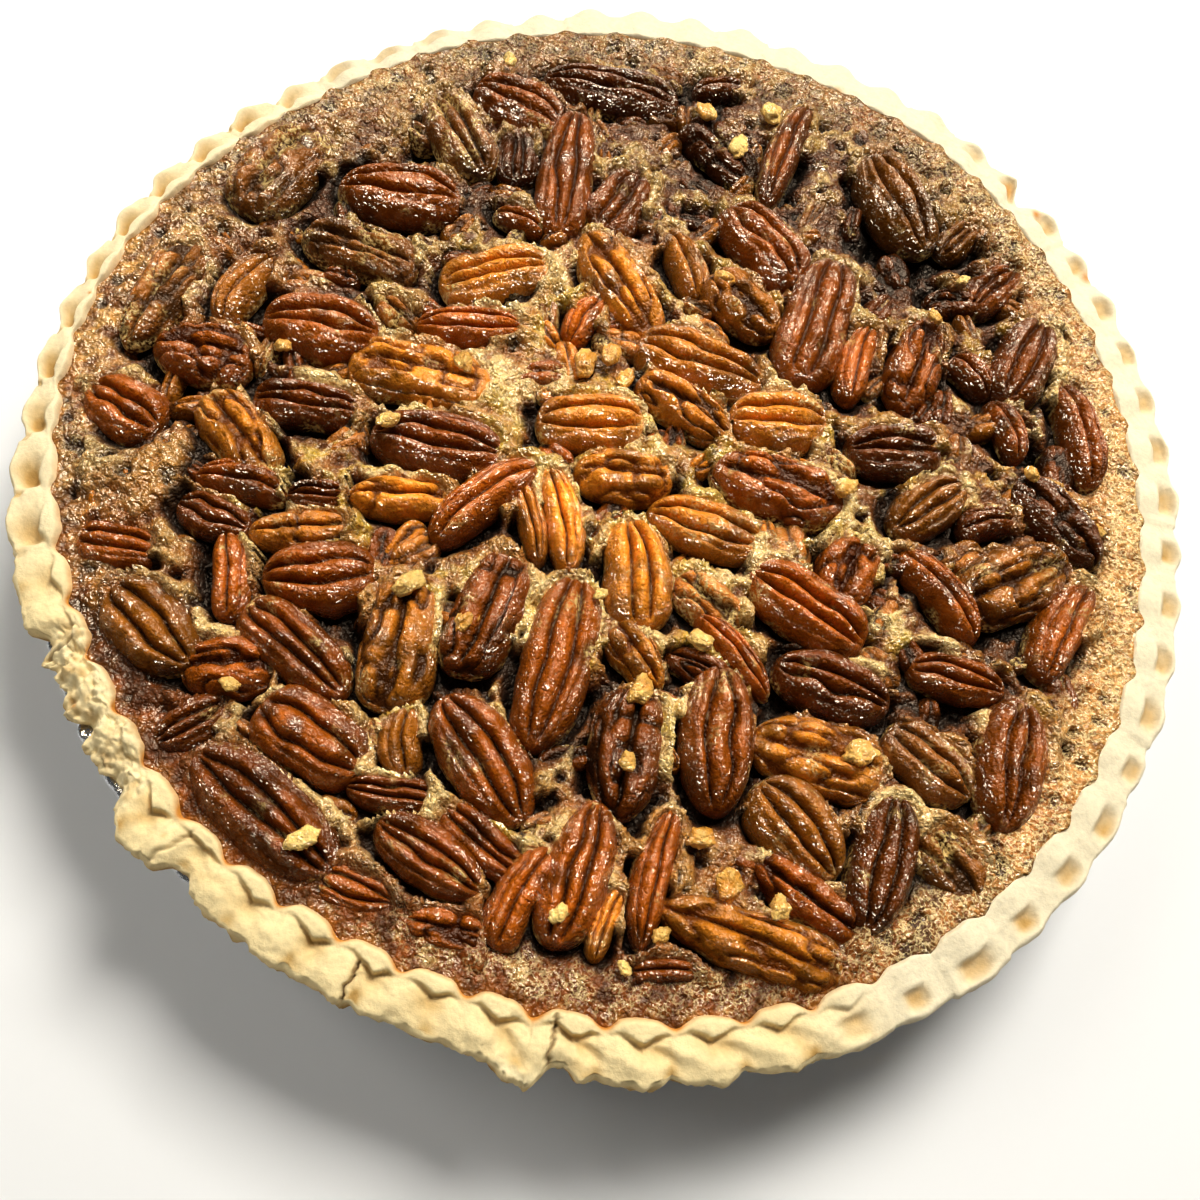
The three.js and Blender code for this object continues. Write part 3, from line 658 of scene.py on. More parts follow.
filling_cells = 304
froth_rise = 1.3  # the froth's mean height above filling_level, and the heights that shape it, in mm
lump_height, fluff_height, fizz_height = 1.2, 1.1, 0.45
climb_height, sink_depth, pore_depth = 3.0, 4.4, 2.2
into_crust = 0.8  # how far the froth reaches into the border's inner face
froth_ripples, froth_cells = 1000.0, 860.0  # ripples and small bubbles to the metre
stir_waves, stir_reach = 500.0, 0.0030
patch_waves = 320.0
strand_width = 0.075  # how far from a noise's middle value a wall of lace still shows
froth_depth, froth_drop = 0.0006, 0.001  # what the bumps in the froth and in its syrup stand for, in metres
froth_pale = paint("DABA74")
froth_mid = paint("A06C2A")
froth_brown = paint("5A2E0C")
gap_shade = paint("170903")
custard = paint("B59224")
glaze_red = paint("7C4212")
edge_orange = paint("A06A22")
lace_pale = paint("F4D898")
froth_dun = paint("824A14")
far_tan = paint("C68C48")
left_tan = paint("CC9448")
caramel = paint("AE621E")
# Shares of red, green and blue that browner froth lacks, at the near and the far side.
near_browning = np.array([0.0, 0.22, 0.46])
far_browning = np.array([0.0, 0.15, 0.42])
# Deep gaps that the froth left between nuts: x, y, size and depth.
gaps = np.array([
    (54, 63, 5, 6), (46, 64, 4, 5), (80, -36, 4, 5), (70, -42, 3.5, 5), (40, -48, 4, 5), (36, -63, 5, 5),
    (-86, 24, 4, 5), (-60, 42, 5, 5), (-61, 63, 5, 5), (-92, -12, 4, 5), (-72, -38, 4, 5), (-41, -35, 4, 5),
    (-43, -52, 4, 5), (8, 62, 3, 4), (-24, 83, 2.5, 4), (4, 92, 2.5, 4), (-3, 31, 4, 5), (20, 28, 3, 4),
    (12, -90, 3, 4), (88, 18, 4, 5), (60, 22, 4, 5), (-20, -58, 4, 5), (4, -57, 4, 5), (62, -14, 3.5, 4),
])
# Mounds of froth with no nut in them: x, y, radius and height.
mounds = np.array([
    (-86, -23, 9, 3.6), (-82, -42, 11, 2.6), (60, -22, 8, 3.0), (-12, 74, 8, 2.6), (-65, 73, 9, 2.2),
    (-102, -30, 6, 2.6), (-95, -32, 7, 2.4), (72, -12, 6, 2.4), (34, -70, 6, 1.6), (-25, 30, 8, 1.8),
    (20, 4, 8, 1.8), (-45, -47, 6, 2.0), (-14, -53, 6, 1.4), (62, 18, 6, 1.8), (-73, 60, 8, 2.0),
    (38, -40, 6, 1.4), (94, -35, 8, 1.4), (87, -66, 8, 1.4), (-97, 33, 8, 2.2), (31, 71, 6, 1.8),
])


def nut_distance(x, y, rows):
    """Distance in mm from each point to the outline of the nearest nut, below 0 inside it, and how far
    the point lies on that nut's near side. An outline is an ellipse with blunter ends, because its power
    is above 2. The distance is taken along the line from its middle."""
    power = 2.6
    least, front = np.full(x.shape, 99.0), np.zeros(x.shape)
    for cx, cy, long, wide, heading in rows[:, :5]:
        along = (x - cx) * np.cos(heading) + (y - cy) * np.sin(heading)
        across = (y - cy) * np.cos(heading) - (x - cx) * np.sin(heading)
        share = (np.abs(along) / (long / 2)) ** power + (np.abs(across) / (wide / 2)) ** power
        share = np.maximum(share, 1e-6) ** (1 / power)
        away = (1 - 1 / share) * np.hypot(along, across)
        toward = (0.35 * (cx - x) + 0.94 * (cy - y)) / (np.hypot(x - cx, y - cy) + 0.1)
        front = np.where(away < least, toward, front)
        least = np.minimum(least, away)
    return least, front


# A square grid laid on a disc: rings of squares become rings of circles.
side = np.linspace(-1, 1, filling_cells + 1)
a, b = np.meshgrid(side, side)
wide_ring = np.abs(a) >= np.abs(b)
reach = np.where(wide_ring, a, b)
safe = np.where(reach == 0, 1, reach)
bearing = np.where(wide_ring, b / safe * np.pi / 4, np.pi / 2 - a / safe * np.pi / 4)
bearing = np.where(reach < 0, bearing + np.pi, bearing)
reach = np.abs(reach)
froth_edge = inner_edge(bearing) + into_crust
x, y = reach * froth_edge * np.cos(bearing), reach * froth_edge * np.sin(bearing)
from_edge = (1 - reach) * froth_edge
degrees = np.degrees(bearing) % 360

# The froth's level: lumps, fluff and small bubbles, mounds, deep gaps and pores. Against each nut it
# climbs in some places, and sinks away in others, mostly on the nut's open side.
away, front = nut_distance(x, y, everyone)
lumps = rough(x, y, 0, 10, 41)
fluff = rough(x, y, 0, 3.6, 42)
fizz = grain(x, y, 0, 1.5, 47)
small_bubble = bubbles(x, y, 2.1, 7)[0]
pore, pore_number = bubbles(x + 0.8 * fluff, y + 0.8 * fizz, 4.6, 9)
near_glaze = stretch(degrees, 215, 305, 24) * ease(from_edge, 19, 8)
rim_band = ease(from_edge, 14, 4)
level = filling_level + froth_rise + lump_height * lumps + fluff_height * fluff
for mx, my, size, tall in mounds:
    level = level + tall * 0.8 * hump(np.hypot(x - mx, y - my), 0, size) * (1 + 0.25 * fluff)
for mx, my, size, deep in gaps:
    level = level - deep * hump(np.hypot(x - mx, y - my) * (1 + 0.4 * fluff), 0, size)
# gloom is a ring between the middle and the edge, where the froth is darker and sinks more.
patch = rough(x, y, 8, 9, 45)
gloom = hump(reach, 0.7, 0.24) * (1 - 0.7 * stretch(degrees, 225, 310, 40))
open_side = ease(front + 0.9 * patch + 0.5 * gloom, -0.1, 0.5)
climb = hump(away, 0.2, 2.4) * (1 - open_side) * ease(patch + 0.5 * fluff, -0.8, 0.2)
sink = np.where(away > 0, hump(away, 0, 2.6 + 1.3 * fluff), 1) * open_side * (1 - rim_band)
level = level + climb_height * climb - sink_depth * sink
level = level + 0.9 * (0.55 - small_bubble) * (1 - 0.5 * near_glaze) + fizz_height * fizz
pore_size = 0.16 + 0.2 * pore_number
is_pore = (pore_number > 0.66) * ease(pore_size - pore, -0.03, 0.09) * (1 - 0.5 * near_glaze)
is_pore = is_pore * (away > 0.3)
level = level - pore_depth * is_pore
# Along the crust it ends in a lip, which stands higher on the far side.
lip = filling_level + froth_rise + 0.3 * fluff + 1.1 * (1 - stretch(degrees, 150, 310, 40))
level = level * ease(from_edge, 0, 8) + lip * (1 - ease(from_edge, 0, 8))
# Under a nut the froth stays low enough not to come through it.
under_nut = filling_level + 1.0 + 2.8 * ease(away, -3.5, 0.2)
level = np.where(away < 0.2, np.minimum(level, under_nut), level)
level = np.clip(level, filling_level - 5, cad_high.z / MM - 2)

# Colour by how far a point stands out, which is partly painted shade: nearly black in the gaps, brown in the
# hollows, pale on top.
shade_noise = rough(x, y, 4, 2.4, 44)
speckle = grain(x, y, 12, 1.1, 48)
pale_patch = ease(rough(x + 50, y, 3, 11, 50), -0.25, 0.35)
raised = 0.5 * (level - filling_level - froth_rise) / 1.6 + 0.4 * fluff
raised = raised + 0.35 * shade_noise + 0.25 * speckle - 0.05 - 0.45 * gloom
yellow = ease(rough(x, y, 2, 10, 46) - reach, -0.7, 0.05) * ease(shade_noise, -0.4, 0.5)
far_band = rim_band * (1 - stretch(degrees, 150, 300, 30))
far_pale = 0.85 - 0.55 * stretch(degrees, 50, 150, 30)
left_band = rim_band * stretch(degrees, 130, 215, 20)
left_brown = stretch(degrees, 140, 222, 20) * ease(from_edge, 22, 6)
syrupy = ease(rough(x, y, 6, 5, 49), 0.0, 0.6) * (0.35 + 0.5 * rim_band)
brown_edge = hump(from_edge, 0, 1.2 + 1.2 * fluff) * (0.4 + 0.55 * stretch(degrees, 150, 315, 20))
colour = layered(gap_shade, [
    (froth_brown, ease(raised, -1.3, -0.5)),
    (froth_dun, ease(raised, -0.6, 0.1)),
    (froth_mid, ease(raised, -0.1, 0.6)),
    (froth_pale, 0.8 * pale_patch * ease(raised + 0.3 * speckle, -0.35, 0.5)),
    (custard, 0.8 * yellow * ease(raised, -0.6, 0.0)),
    (far_tan, far_pale * far_band * ease(shade_noise + 0.3 * speckle, -0.9, 0.1)),
    (left_tan, 0.9 * left_band * ease(shade_noise, -0.4, 0.4)),
    (glaze_red, 0.95 * near_glaze * ease(0.8 - shade_noise, -0.3, 0.5)),
    (caramel, 0.7 * syrupy * ease(raised, -0.9, -0.2)),
    (froth_brown, 0.4 * left_brown * ease(0.5 - shade_noise, -0.2, 0.5)),
    # Painted shade: nearly black where the froth sinks beside a nut and inside each pore.
    (gap_shade, np.clip(0.95 * ease(sink, 0.1, 0.5) + 0.85 * is_pore, 0, 1)),
    (edge_orange, brown_edge),
])

# Darker at the far side, and at the near side beside the crust, with dark blotches at the near side and dark
# spots round the rest of the border.
far_dim = stretch(degrees, 30, 160, 40) * ease(reach, 0.25, 0.7)
front_lace = stretch(degrees, 256, 300, 14) * ease(from_edge, 15, 6)
front_lace = front_lace * ease(shade_noise + 0.6 * fluff, -0.35, 0.45)
near_dim = stretch(degrees, 195, 320, 30) * ease(reach, 0.78, 0.96) * (1 - 0.4 * front_lace)
dark_blotches = near_dim * ease(rough(x, y, 11, 4.2, 52) - 0.3 * front_lace, -0.15, 0.35)
dimmed = 0.48 * far_dim + 0.3 * near_dim + 0.4 * dark_blotches
spotted = rim_band * (1 - near_glaze) * ease(rough(x, y, 12, 2.4, 53), 0.05, 0.4)
dimmed = np.clip(dimmed + 0.34 * spotted, 0, 0.8)
warmth = near_dim[..., None] * near_browning + far_dim[..., None] * far_browning
colour = colour * (1 - dimmed)[..., None] * (1 - warmth)

# How wet the syrup on it still looks, and how much pale lace the froth shows.
wet = 0.36 - 0.06 * near_glaze - 0.1 * far_dim - 0.25 * dark_blotches + 0.2 * left_brown + 0.3 * shade_noise
wet = np.clip(wet, 0, 1) * (1 - ease(sink, 0.1, 0.4))
wet = wet * (0.1 + 0.9 * ease(raised + 0.6 * near_glaze, -0.8, 0.0))
wet = wet * (1 - 0.5 * near_glaze * ease(-shade_noise, -0.3, 0.3))
lace = (0.15 + 0.55 * pale_patch * ease(raised, -0.5, 0.3)) * (1 - 0.75 * near_glaze)
lace = (lace + 0.6 * front_lace) * (1 - dimmed)
lace = lace * (1 - 0.6 * stretch(degrees, 205, 252, 20) * rim_band)
lace = lace * ease(raised + 0.8 * near_glaze, -0.6, 0.1) + 0.8 * far_band * far_pale
lace = np.clip(lace * (1 - 0.8 * ease(sink, 0.1, 0.5)) * (1 - brown_edge), 0, 0.9)

# The disc's own edge is joined to rings of points that follow the crust's lining down to the base.
top_points = np.stack([x, y, level], -1).reshape(-1, 3)
count = filling_cells + 1
corner = np.arange(filling_cells)
row = np.arange(filling_cells)[:, None] * count
top_faces = np.stack([row + corner, row + corner + 1, row + count + corner + 1, row + count + corner], -1)
rim = np.concatenate([corner, corner * count + filling_cells,
                      filling_cells * count + filling_cells - corner, (filling_cells - corner) * count])
rim_angle = bearing.ravel()[rim]
rim_radius = inner_edge(rim_angle)
filling_base = foil_gauge + crust_thickness + 2 * gap
filling_foot = tin_base - foil_gauge - crust_thickness - 3
below = [
    (rim_radius + 0.4, filling_level - 0.2),
    (rim_radius * 0 + crust_mouth - 0.4, tin_height + 1.7),
    (rim_radius * 0 + filling_foot, filling_base),
]
rings = np.vstack([np.stack([r * np.cos(rim_angle), r * np.sin(rim_angle), rim_angle * 0 + z], -1)
                   for r, z in below])
filling_points = np.vstack([top_points, rings, [[0, 0, filling_base]]])
ring = len(top_points) + np.arange(len(rim))
skirt = np.stack([rim, ring, np.roll(ring, -1), np.roll(rim, -1)], -1)
lower = grid_faces(len(below), len(rim), len(top_points))[:, ::-1]
bottom = cap_faces(ring + len(rim) * (len(below) - 1), len(filling_points) - 1, False)
side_count = len(filling_points) - len(top_points)
side_wet = 0.3
colour = np.vstack([colour.reshape(-1, 3), np.tile(froth_brown, (side_count, 1))])
wet = np.append(wet.ravel(), np.full(side_count, side_wet))
lace = np.append(lace.ravel(), np.zeros(side_count))


def new_group(name, *outputs):
    """A node group with one input, Size, and the named outputs. Gives the group, its Size, Object
    coordinates and the sockets that its outputs are linked to."""
    group = bpy.data.node_groups.new(name, "ShaderNodeTree")
    group.interface.new_socket("Size", in_out="INPUT", socket_type="NodeSocketFloat")
    for label in outputs:
        group.interface.new_socket(label, in_out="OUTPUT", socket_type="NodeSocketFloat")
    size = add_node(group, "NodeGroupInput").outputs["Size"]
    return group, size, own_place(group), add_node(group, "NodeGroupOutput").inputs


def bubble_hollows(tree, place, size):
    """The square of the distance to the middle of the nearest bubble: 0 on top of each bubble's dome.
    A noise stirs the places first, so that the bubbles differ in shape."""
    stir = add_node(tree, "ShaderNodeTexNoise", Vector=place, Scale=stir_waves, Detail=1.0).outputs["Color"]
    stirred = add_node(tree, "ShaderNodeVectorMath", {"operation": "MULTIPLY_ADD"}, i0=stir,
                       i1=(stir_reach,) * 3, i2=place).outputs[0]
    far = add_node(tree, "ShaderNodeTexVoronoi", Vector=stirred, Scale=size).outputs["Distance"]
    return arithmetic(tree, "MULTIPLY", far, far)


def syrup_drops(tree, size, cells, share, depth):
    """Normal of a coat of syrup that set in drops. Its height is a noise less share times the square of
    the distance to the nearest bubble. Its nodes stand in the material itself, because the coat's own
    normal isn't a socket that a group may feed."""
    place = own_place(tree)
    ripples = noise(tree, place, size, 2.0)
    height = arithmetic(tree, "MULTIPLY_ADD", bubble_hollows(tree, place, cells), -share, ripples)
    return bumped(tree, height, 1.0, depth)


def overlaid(tree, base, cover, share):
    """A colour under a second one: share runs from 0, all base, to 1, all cover."""
    mix = add_node(tree, "ShaderNodeMix", {"data_type": "RGBA"}, i0=share, i6=base, i7=(*cover, 1))
    return mix.outputs[2]


# Fine froth: a dome over each small bubble, and thin walls of lace where a noise passes its middle value.
foam_group, size, place, sockets = new_group("foam_cells", "Height", "Wall")
foam_height = arithmetic(foam_group, "SUBTRACT", 1.0, bubble_hollows(foam_group, place, size))
off_strand = arithmetic(foam_group, "SUBTRACT", noise(foam_group, place, size, 2.0), 0.5)
off_strand = arithmetic(foam_group, "ABSOLUTE", off_strand)
foam_group.links.new(foam_height, sockets["Height"])
wall = spread(foam_group, off_strand, (0.0, strand_width), (1.0, 0.0))
foam_group.links.new(wall, sockets["Wall"])

# Set syrup: fine ripples, and broader patches where it lies thick or has soaked in.
syrup_group, size, place, sockets = new_group("set_syrup", "Height", "Patches")
syrup_group.links.new(noise(syrup_group, place, size, 2.0), sockets["Height"])
syrup_group.links.new(noise(syrup_group, place, patch_waves, 2.0), sockets["Patches"])

froth, tree, shader = new_material("baked_froth")
wetness = by_point(tree, "wet")
skin = add_node(tree, "ShaderNodeGroup", {"node_tree": syrup_group}, Size=froth_ripples).outputs
foam = add_node(tree, "ShaderNodeGroup", {"node_tree": foam_group}, Size=froth_cells).outputs
tinted = mottled(tree, skin["Height"], (0.32, 0.68), (0.65, 1.4))
strands = arithmetic(tree, "MULTIPLY", foam["Wall"], by_point(tree, "lace"))
laced = overlaid(tree, tinted, lace_pale, strands)
skin_height = arithmetic(tree, "MULTIPLY_ADD", foam["Height"], 0.8, skin["Height"])
drops = syrup_drops(tree, froth_ripples, froth_cells, 0.8, froth_drop)
tree.links.new(laced, shader.inputs["Base Color"])
tree.links.new(spread(tree, wetness, end=(0.5, 0.3)), shader.inputs["Roughness"])
tree.links.new(bumped(tree, skin_height, 1.0, froth_depth), shader.inputs["Normal"])
tree.links.new(wetness, shader.inputs["Coat Weight"])
tree.links.new(drops, shader.inputs["Coat Normal"])
shader.inputs["Specular IOR Level"].default_value = 0.06
shader.inputs["Coat Roughness"].default_value = 0.03
add_piece("filling_froth", filling_points, [top_faces.reshape(-1, 4), skirt, lower, bottom], froth, "filling",
          ["filling"], colour=colour, wet=wet, lace=lace)


# ---- Pecans: ridged, wrinkled and on edge ----
# The back of a half is smooth, with two deep grooves from tip to tip. Its inner face is folded on both sides
# of a channel. Those on edge show a bent back. The grooves are painted dark: partly syrup that set in them,
# partly painted shade.

pecan_paint = {"red": "8E460A", "brown": "945613", "dark": "642F06", "amber": "B16A1A", "frothed": "864E19"}
# Painted shade in the grooves, together with the dark syrup that set there.
groove_shade_and_syrup = {"red": "2E0E02", "brown": "301404", "dark": "160802", "amber": "5A2A08", "frothed": "301A08"}
lit_top_tint = np.array([2.2, 2.1, 1.6])  # times its colour along the top of a nut: painted light
pressed_in = 1.2  # how far a nut's widest part lies below the top of the filling
# Points along a nut, over its back and below, on a whole half and on a bit.
half_grid = (38, 43, 9)
bit_grid = (16, 17, 5)
groove_width, flank_width, channel_width = 0.13, 0.09, 0.16  # as shares of a nut's half width
wider, longer = 1.06, 1.04  # a finished nut against the size in its row
bowl_depth = 0.34  # of the under side, as a share of the nut's height
tip_length = 0.25  # from the last ring of points to the tip, in mm
nut_ripples, nut_cells = 1250.0, 1000.0  # to the metre: ripples and bubbles in its skin, and in its coat
coat_ripples, coat_cells = 720.0, 1050.0
nut_depth, nut_drop = 0.0005, 0.0014


def cleft(s, middle, breadth):
    """A sharp furrow between rounded lobes: 1 at its bottom. A narrow slit, e to minus a low power of the
    distance, is added to a wide bell curve."""
    off = np.abs(s - middle) / breadth
    return 0.65 * np.exp(-(off / 0.45) ** 1.2) + 0.35 * np.exp(-(off / 1.7) ** 2)


def pecan_surfaces(kind, rows, pecan_rows, upper_columns, under_columns):
    """Every pecan of one kind at once: grids of points from tip to tip and round the section.

    The grid has pecan_rows along the nut, upper_columns over its back and under_columns below.
    t runs from -1 to 1 along the nut and s from -1 to 1 across it. The half-width is a root of
    1 - |t| to a power, the upper side a dome of 1 - |s| to a power, and the under side a shallow bowl.
    Furrows, folds and fine bumps lower the dome as a share of its height.
    Gives points, how deep in a furrow and how high on the nut each one lies, and the nut's own number."""
    cx, cy, long, wide, heading, rise, base = (rows[:, k, None, None] for k in range(7))
    own_number = scatter(cx + 3 * cy)
    seed = np.floor(1000 * own_number)
    steps = (np.arange(pecan_rows) + 0.6) / (pecan_rows + 0.2)
    t = (-np.cos(np.pi * steps) * 0.75 + (2 * steps - 1) * 0.25)[None, :, None]  # closer near the tips
    over = np.linspace(1, -1, upper_columns)
    under = np.linspace(-1, 1, under_columns + 2)[1:-1]
    s = np.concatenate([0.6 * over + 0.4 * np.sin(np.pi / 2 * over), np.sin(np.pi / 2 * under)])
    s = s[None, None, :]
    above = (np.arange(upper_columns + under_columns) < upper_columns)[None, None, :]
    blunt = np.where(t < 0, 2.2 + 5 * scatter(seed + 11) ** 3, 2.2 + 5 * scatter(seed + 13) ** 3)
    egg = 1 + 0.16 * (scatter(seed + 12) - 0.5) * t
    half = wider * wide / 2 * np.sqrt(1 - np.abs(t) ** blunt) * egg
    slope = 0.24 * (own_number - 0.5)
    tall = rise * np.sqrt(1 - np.abs(t) ** 3.2) * (1 + slope * t)
    side = np.clip(1 - np.abs(s) ** 2.5, 0, 1)
    dome = np.where(above, side ** 0.55, -bowl_depth * side ** 0.5)
    nx, ny, nz = t * long / 2 + 40 * (seed % 17), s * half + 30 * (seed % 13), dome * tall
    wander = 0.10 * grain(t * 2.2 + 0 * s, seed * 1.7, 0, 1, 3)
    drift = 0.12 * grain(t * 2.6 + 0 * s, seed * 1.3 + 50, 0, 1, 3)
    ends = ease(1 - np.abs(t), 0.02, 0.2)
    if kind == "ridged":
        # Two grooves that draw together towards the tips, and a shorter one on each flank.
        apart = (0.22 + 0.12 * scatter(seed + 1)) * (1 - 0.35 * t ** 2)
        furrow = np.maximum(cleft(s, -apart + wander, groove_width), cleft(s, apart + drift, groove_width))
        flanks = 0
        for number, middle in ((2, 0.68 + wander), (3, -0.68 + drift)):
            length = hump(t, 0.5 - scatter(seed + 19 + number), 0.7)
            flanks = flanks + 0.6 * scatter(seed + number) * cleft(s, middle, flank_width) * length
        furrow = np.clip(np.maximum(furrow, flanks), 0, 1) * ends * above
        relief = 0.5 * furrow + 0.06 * hump(s, 0, 0.2)
        relief = relief + 0.05 * grain(nx, ny, nz, 3.6, 5) + 0.03 * grain(nx, ny, nz, 1.6, 6)
        relief = relief + 0.035 * grain(nx * 0.3, ny, 0, 1.3, 15)
    elif kind == "wrinkled":
        # A channel down the middle, and folds and little wrinkles on both sides of it.
        channel = cleft(s, wander, channel_width) * ease(1 - np.abs(t), 0.0, 0.3)
        folds = ease(1 - np.abs(grain(0.5 * nx, ny, nz, 3.0, 7)), 0.7, 1.0) * (1 - channel)
        little = ease(1 - np.abs(grain(nx, ny, nz, 1.9, 17)), 0.6, 1.0)
        furrow = np.clip(channel + 0.8 * folds + 0.25 * little, 0, 1) * above
        relief = 0.42 * channel + 0.28 * folds + 0.07 * little + 0.03 * grain(nx, ny, nz, 1.5, 8)
    else:
        # One groove near the top and a fainter one on the side.
        furrow = np.maximum(cleft(s, -0.16 + wander, groove_width), 0.7 * cleft(s, 0.44 + drift, 0.11))
        furrow = furrow * ends * above
        relief = 0.36 * furrow + 0.04 * grain(nx, ny, nz, 2.6, 9) + 0.03 * grain(nx, ny, nz, 1.4, 10)
    outline = 1 + 0.09 * grain(t * 3.0, seed, 2 + 0.4 * s, 1, 4) + 0.04 * grain(nx, ny, 0, 1.8, 14)
    sway = (0.16 if kind == "edge" else 0.09 * (scatter(seed + 6) - 0.5)) * wide * (0.5 - t ** 2)
    across = s * half * outline + sway
    upward = dome * tall * (1 - relief * above)
    along = longer * t * long / 2 * (1 + 0.03 * s * (scatter(seed + 8) - 0.5))
    roll = 0.16 * (scatter(seed + 5) - 0.5)
    z = base - pressed_in + upward * (rise + pressed_in) / rise + roll * across * above
    px = cx + along * np.cos(heading) - across * np.sin(heading)
    py = cy + along * np.sin(heading) + across * np.cos(heading)
    body = np.stack([px, py, z], -1)
    ahead = tip_length * np.stack([np.cos(heading), np.sin(heading), 0 * heading], -1)[:, 0]
    tips = [body[:, 0].mean(1, keepdims=True) - ahead, body[:, -1].mean(1, keepdims=True) + ahead]
    points = np.concatenate([body.reshape(len(rows), -1, 3), *tips], axis=1)
    at_tips = np.zeros((len(rows), 2))
    furrow = np.hstack([np.broadcast_to(furrow, body.shape[:3]).reshape(len(rows), -1), at_tips])
    height = np.hstack([(upward / rise).reshape(len(rows), -1), at_tips + 0.2])
    return points, furrow, height, np.repeat(seed.ravel()[:, None], points.shape[1], 1)


def nut_faces(count, size, rows, columns):
    """The faces of `count` closed nuts of `size` points each, in one list for quads and two for tips."""
    body = rows * columns
    first = np.arange(columns)
    parts = (grid_faces(rows, columns), cap_faces(first, body, False),
             cap_faces(first + columns * (rows - 1), body + 1, True))
    offsets = (np.arange(count) * size)[:, None, None]
    return [(part[None] + offsets).reshape(-1, part.shape[1]) for part in parts]


def pecan_colour(points, furrow, height, seed, colour_name):
    """Point colours: painted shade in the furrows, with dark syrup, and at the foot; stained here and there;
    painted light along the top; each nut in its own tone, brightest in the pie's middle and darker towards
    the far side and the right. Also gives how much froth dried on each point, and how glossy it is."""
    px, py, pz = points.T
    tone = (0.75 + 0.5 * scatter(seed + 7)) * (0.76 + 0.8 * hump(np.hypot(px, py), 0, 48))
    tone = tone * (1 - 0.38 * ease(py, 15, 70)) * (1 - 0.2 * ease(px, 20, 70))
    body = paint(pecan_paint[colour_name]) * tone[:, None]
    frothy = 0.4 if colour_name == "frothed" else -0.05
    film = ease(rough(px, py, pz, 5, 61) + frothy + 0.5 * ease(height, 0.4, 0.1), 0.35, 0.9)
    stain = ease(rough(px, py, pz, 6, 62), 0.1, 0.7)
    # Painted light along the top, stains and painted shade towards the foot, and painted shade with dark
    # syrup in the furrows.
    colour = layered(body, [
        (body * lit_top_tint, 0.8 * ease(height, 0.55, 1.0) * (1 - stain)),
        (body * 0.3, 0.5 * stain + 0.8 * ease(height, 0.55, 0.0)),
        (paint(groove_shade_and_syrup[colour_name]), 0.95 * ease(furrow, 0.36, 0.85)),
    ])
    gloss = (1 - ease(furrow, 0.1, 0.5)) * (0.3 + 0.7 * ease(rough(px, py, pz, 3, 63), -0.4, 0.2))
    return colour, film, gloss


def pecan_finish(name):
    """Toasted nut under a thin coat of syrup. The point colours are mottled by patches of syrup, and specks
    of froth that dried on the nut are paler and rougher."""
    material, tree, shader = new_material(f"syruped_pecan_{name}")
    skin = add_node(tree, "ShaderNodeGroup", {"node_tree": syrup_group}, Size=nut_ripples).outputs
    foam = add_node(tree, "ShaderNodeGroup", {"node_tree": foam_group}, Size=nut_cells).outputs
    tinted = mottled(tree, skin["Patches"], (0.3, 0.7), (0.72, 1.3))
    specks = arithmetic(tree, "MULTIPLY", spread(tree, skin["Height"], (0.44, 0.62)), by_point(tree, "film"))
    coat = arithmetic(tree, "MULTIPLY", spread(tree, skin["Patches"], (0.40, 0.5)), by_point(tree, "gloss"))
    height = arithmetic(tree, "MULTIPLY_ADD", foam["Height"], 0.5, skin["Height"])
    tree.links.new(overlaid(tree, tinted, froth_pale, specks), shader.inputs["Base Color"])
    tree.links.new(spread(tree, specks, end=(0.28, 0.45)), shader.inputs["Roughness"])
    tree.links.new(bumped(tree, height, 1.0, nut_depth), shader.inputs["Normal"])
    tree.links.new(coat, shader.inputs["Coat Weight"])
    drops = syrup_drops(tree, coat_ripples, coat_cells, 0.5, nut_drop)
    tree.links.new(drops, shader.inputs["Coat Normal"])
    shader.inputs["Specular IOR Level"].default_value = 0.04
    shader.inputs["Coat Roughness"].default_value = 0.03
    return material


def add_pecans(name, kind, rows, grid, colour_name, nodes):
    """One piece of all the nuts in rows, which have the same kind and colour."""
    points, furrow, height, seed = pecan_surfaces(kind, rows, *grid)
    along, over, under = grid
    faces = nut_faces(len(rows), points.shape[1], along, over + under)
    points = points.reshape(-1, 3)
    colour, film, gloss = pecan_colour(points, furrow.ravel(), height.ravel(), seed.ravel(), colour_name)
    add_piece(name, points, faces, pecan_materials[colour_name], f"pecan_{colour_name}", nodes,
              colour=colour, film=film, gloss=gloss)


pecan_materials = {name: pecan_finish(name) for name in pecan_colours}
for stem, (nodes, rows) in pecans.items():
    colour_name, kind = stem.split("_")[1:]
    add_pecans(f"{stem}_halves", kind, rows, half_grid, colour_name, nodes)

# Bits of nut half sunk in the froth, where there is room between the halves.
bit_pitch = 7.2
bit_base = sunk_base - 0.2
least_room, from_crust = 0.8, 7
steps = np.arange(-15, 16)
column, row = (value.ravel() for value in np.meshgrid(steps, steps))
bit_x = bit_pitch * (column + scatter(column + 37 * row + 3) - 0.5)
bit_y = bit_pitch * (row + scatter(column + 37 * row + 5) - 0.5)
bit_room = nut_distance(bit_x, bit_y, everyone)[0]
bit_edge = border(np.arctan2(bit_y, bit_x))[0] - np.hypot(bit_x, bit_y)
kept = (bit_room > least_room) & (bit_edge > from_crust) & (scatter(column * 7 + row * 11) > 0.4)
bit_x, bit_y, bit_room = bit_x[kept], bit_y[kept], bit_room[kept]
bit_long = 5 + 1.1 * np.minimum(bit_room, 4) + 3 * scatter(bit_x * 5)
bit_wide = bit_long * (0.45 + 0.25 * scatter(bit_y * 3))
bit_heading = np.pi * scatter(bit_x + bit_y)
bit_rise = 2.2 + 1.8 * scatter(bit_x * 3 + bit_y)
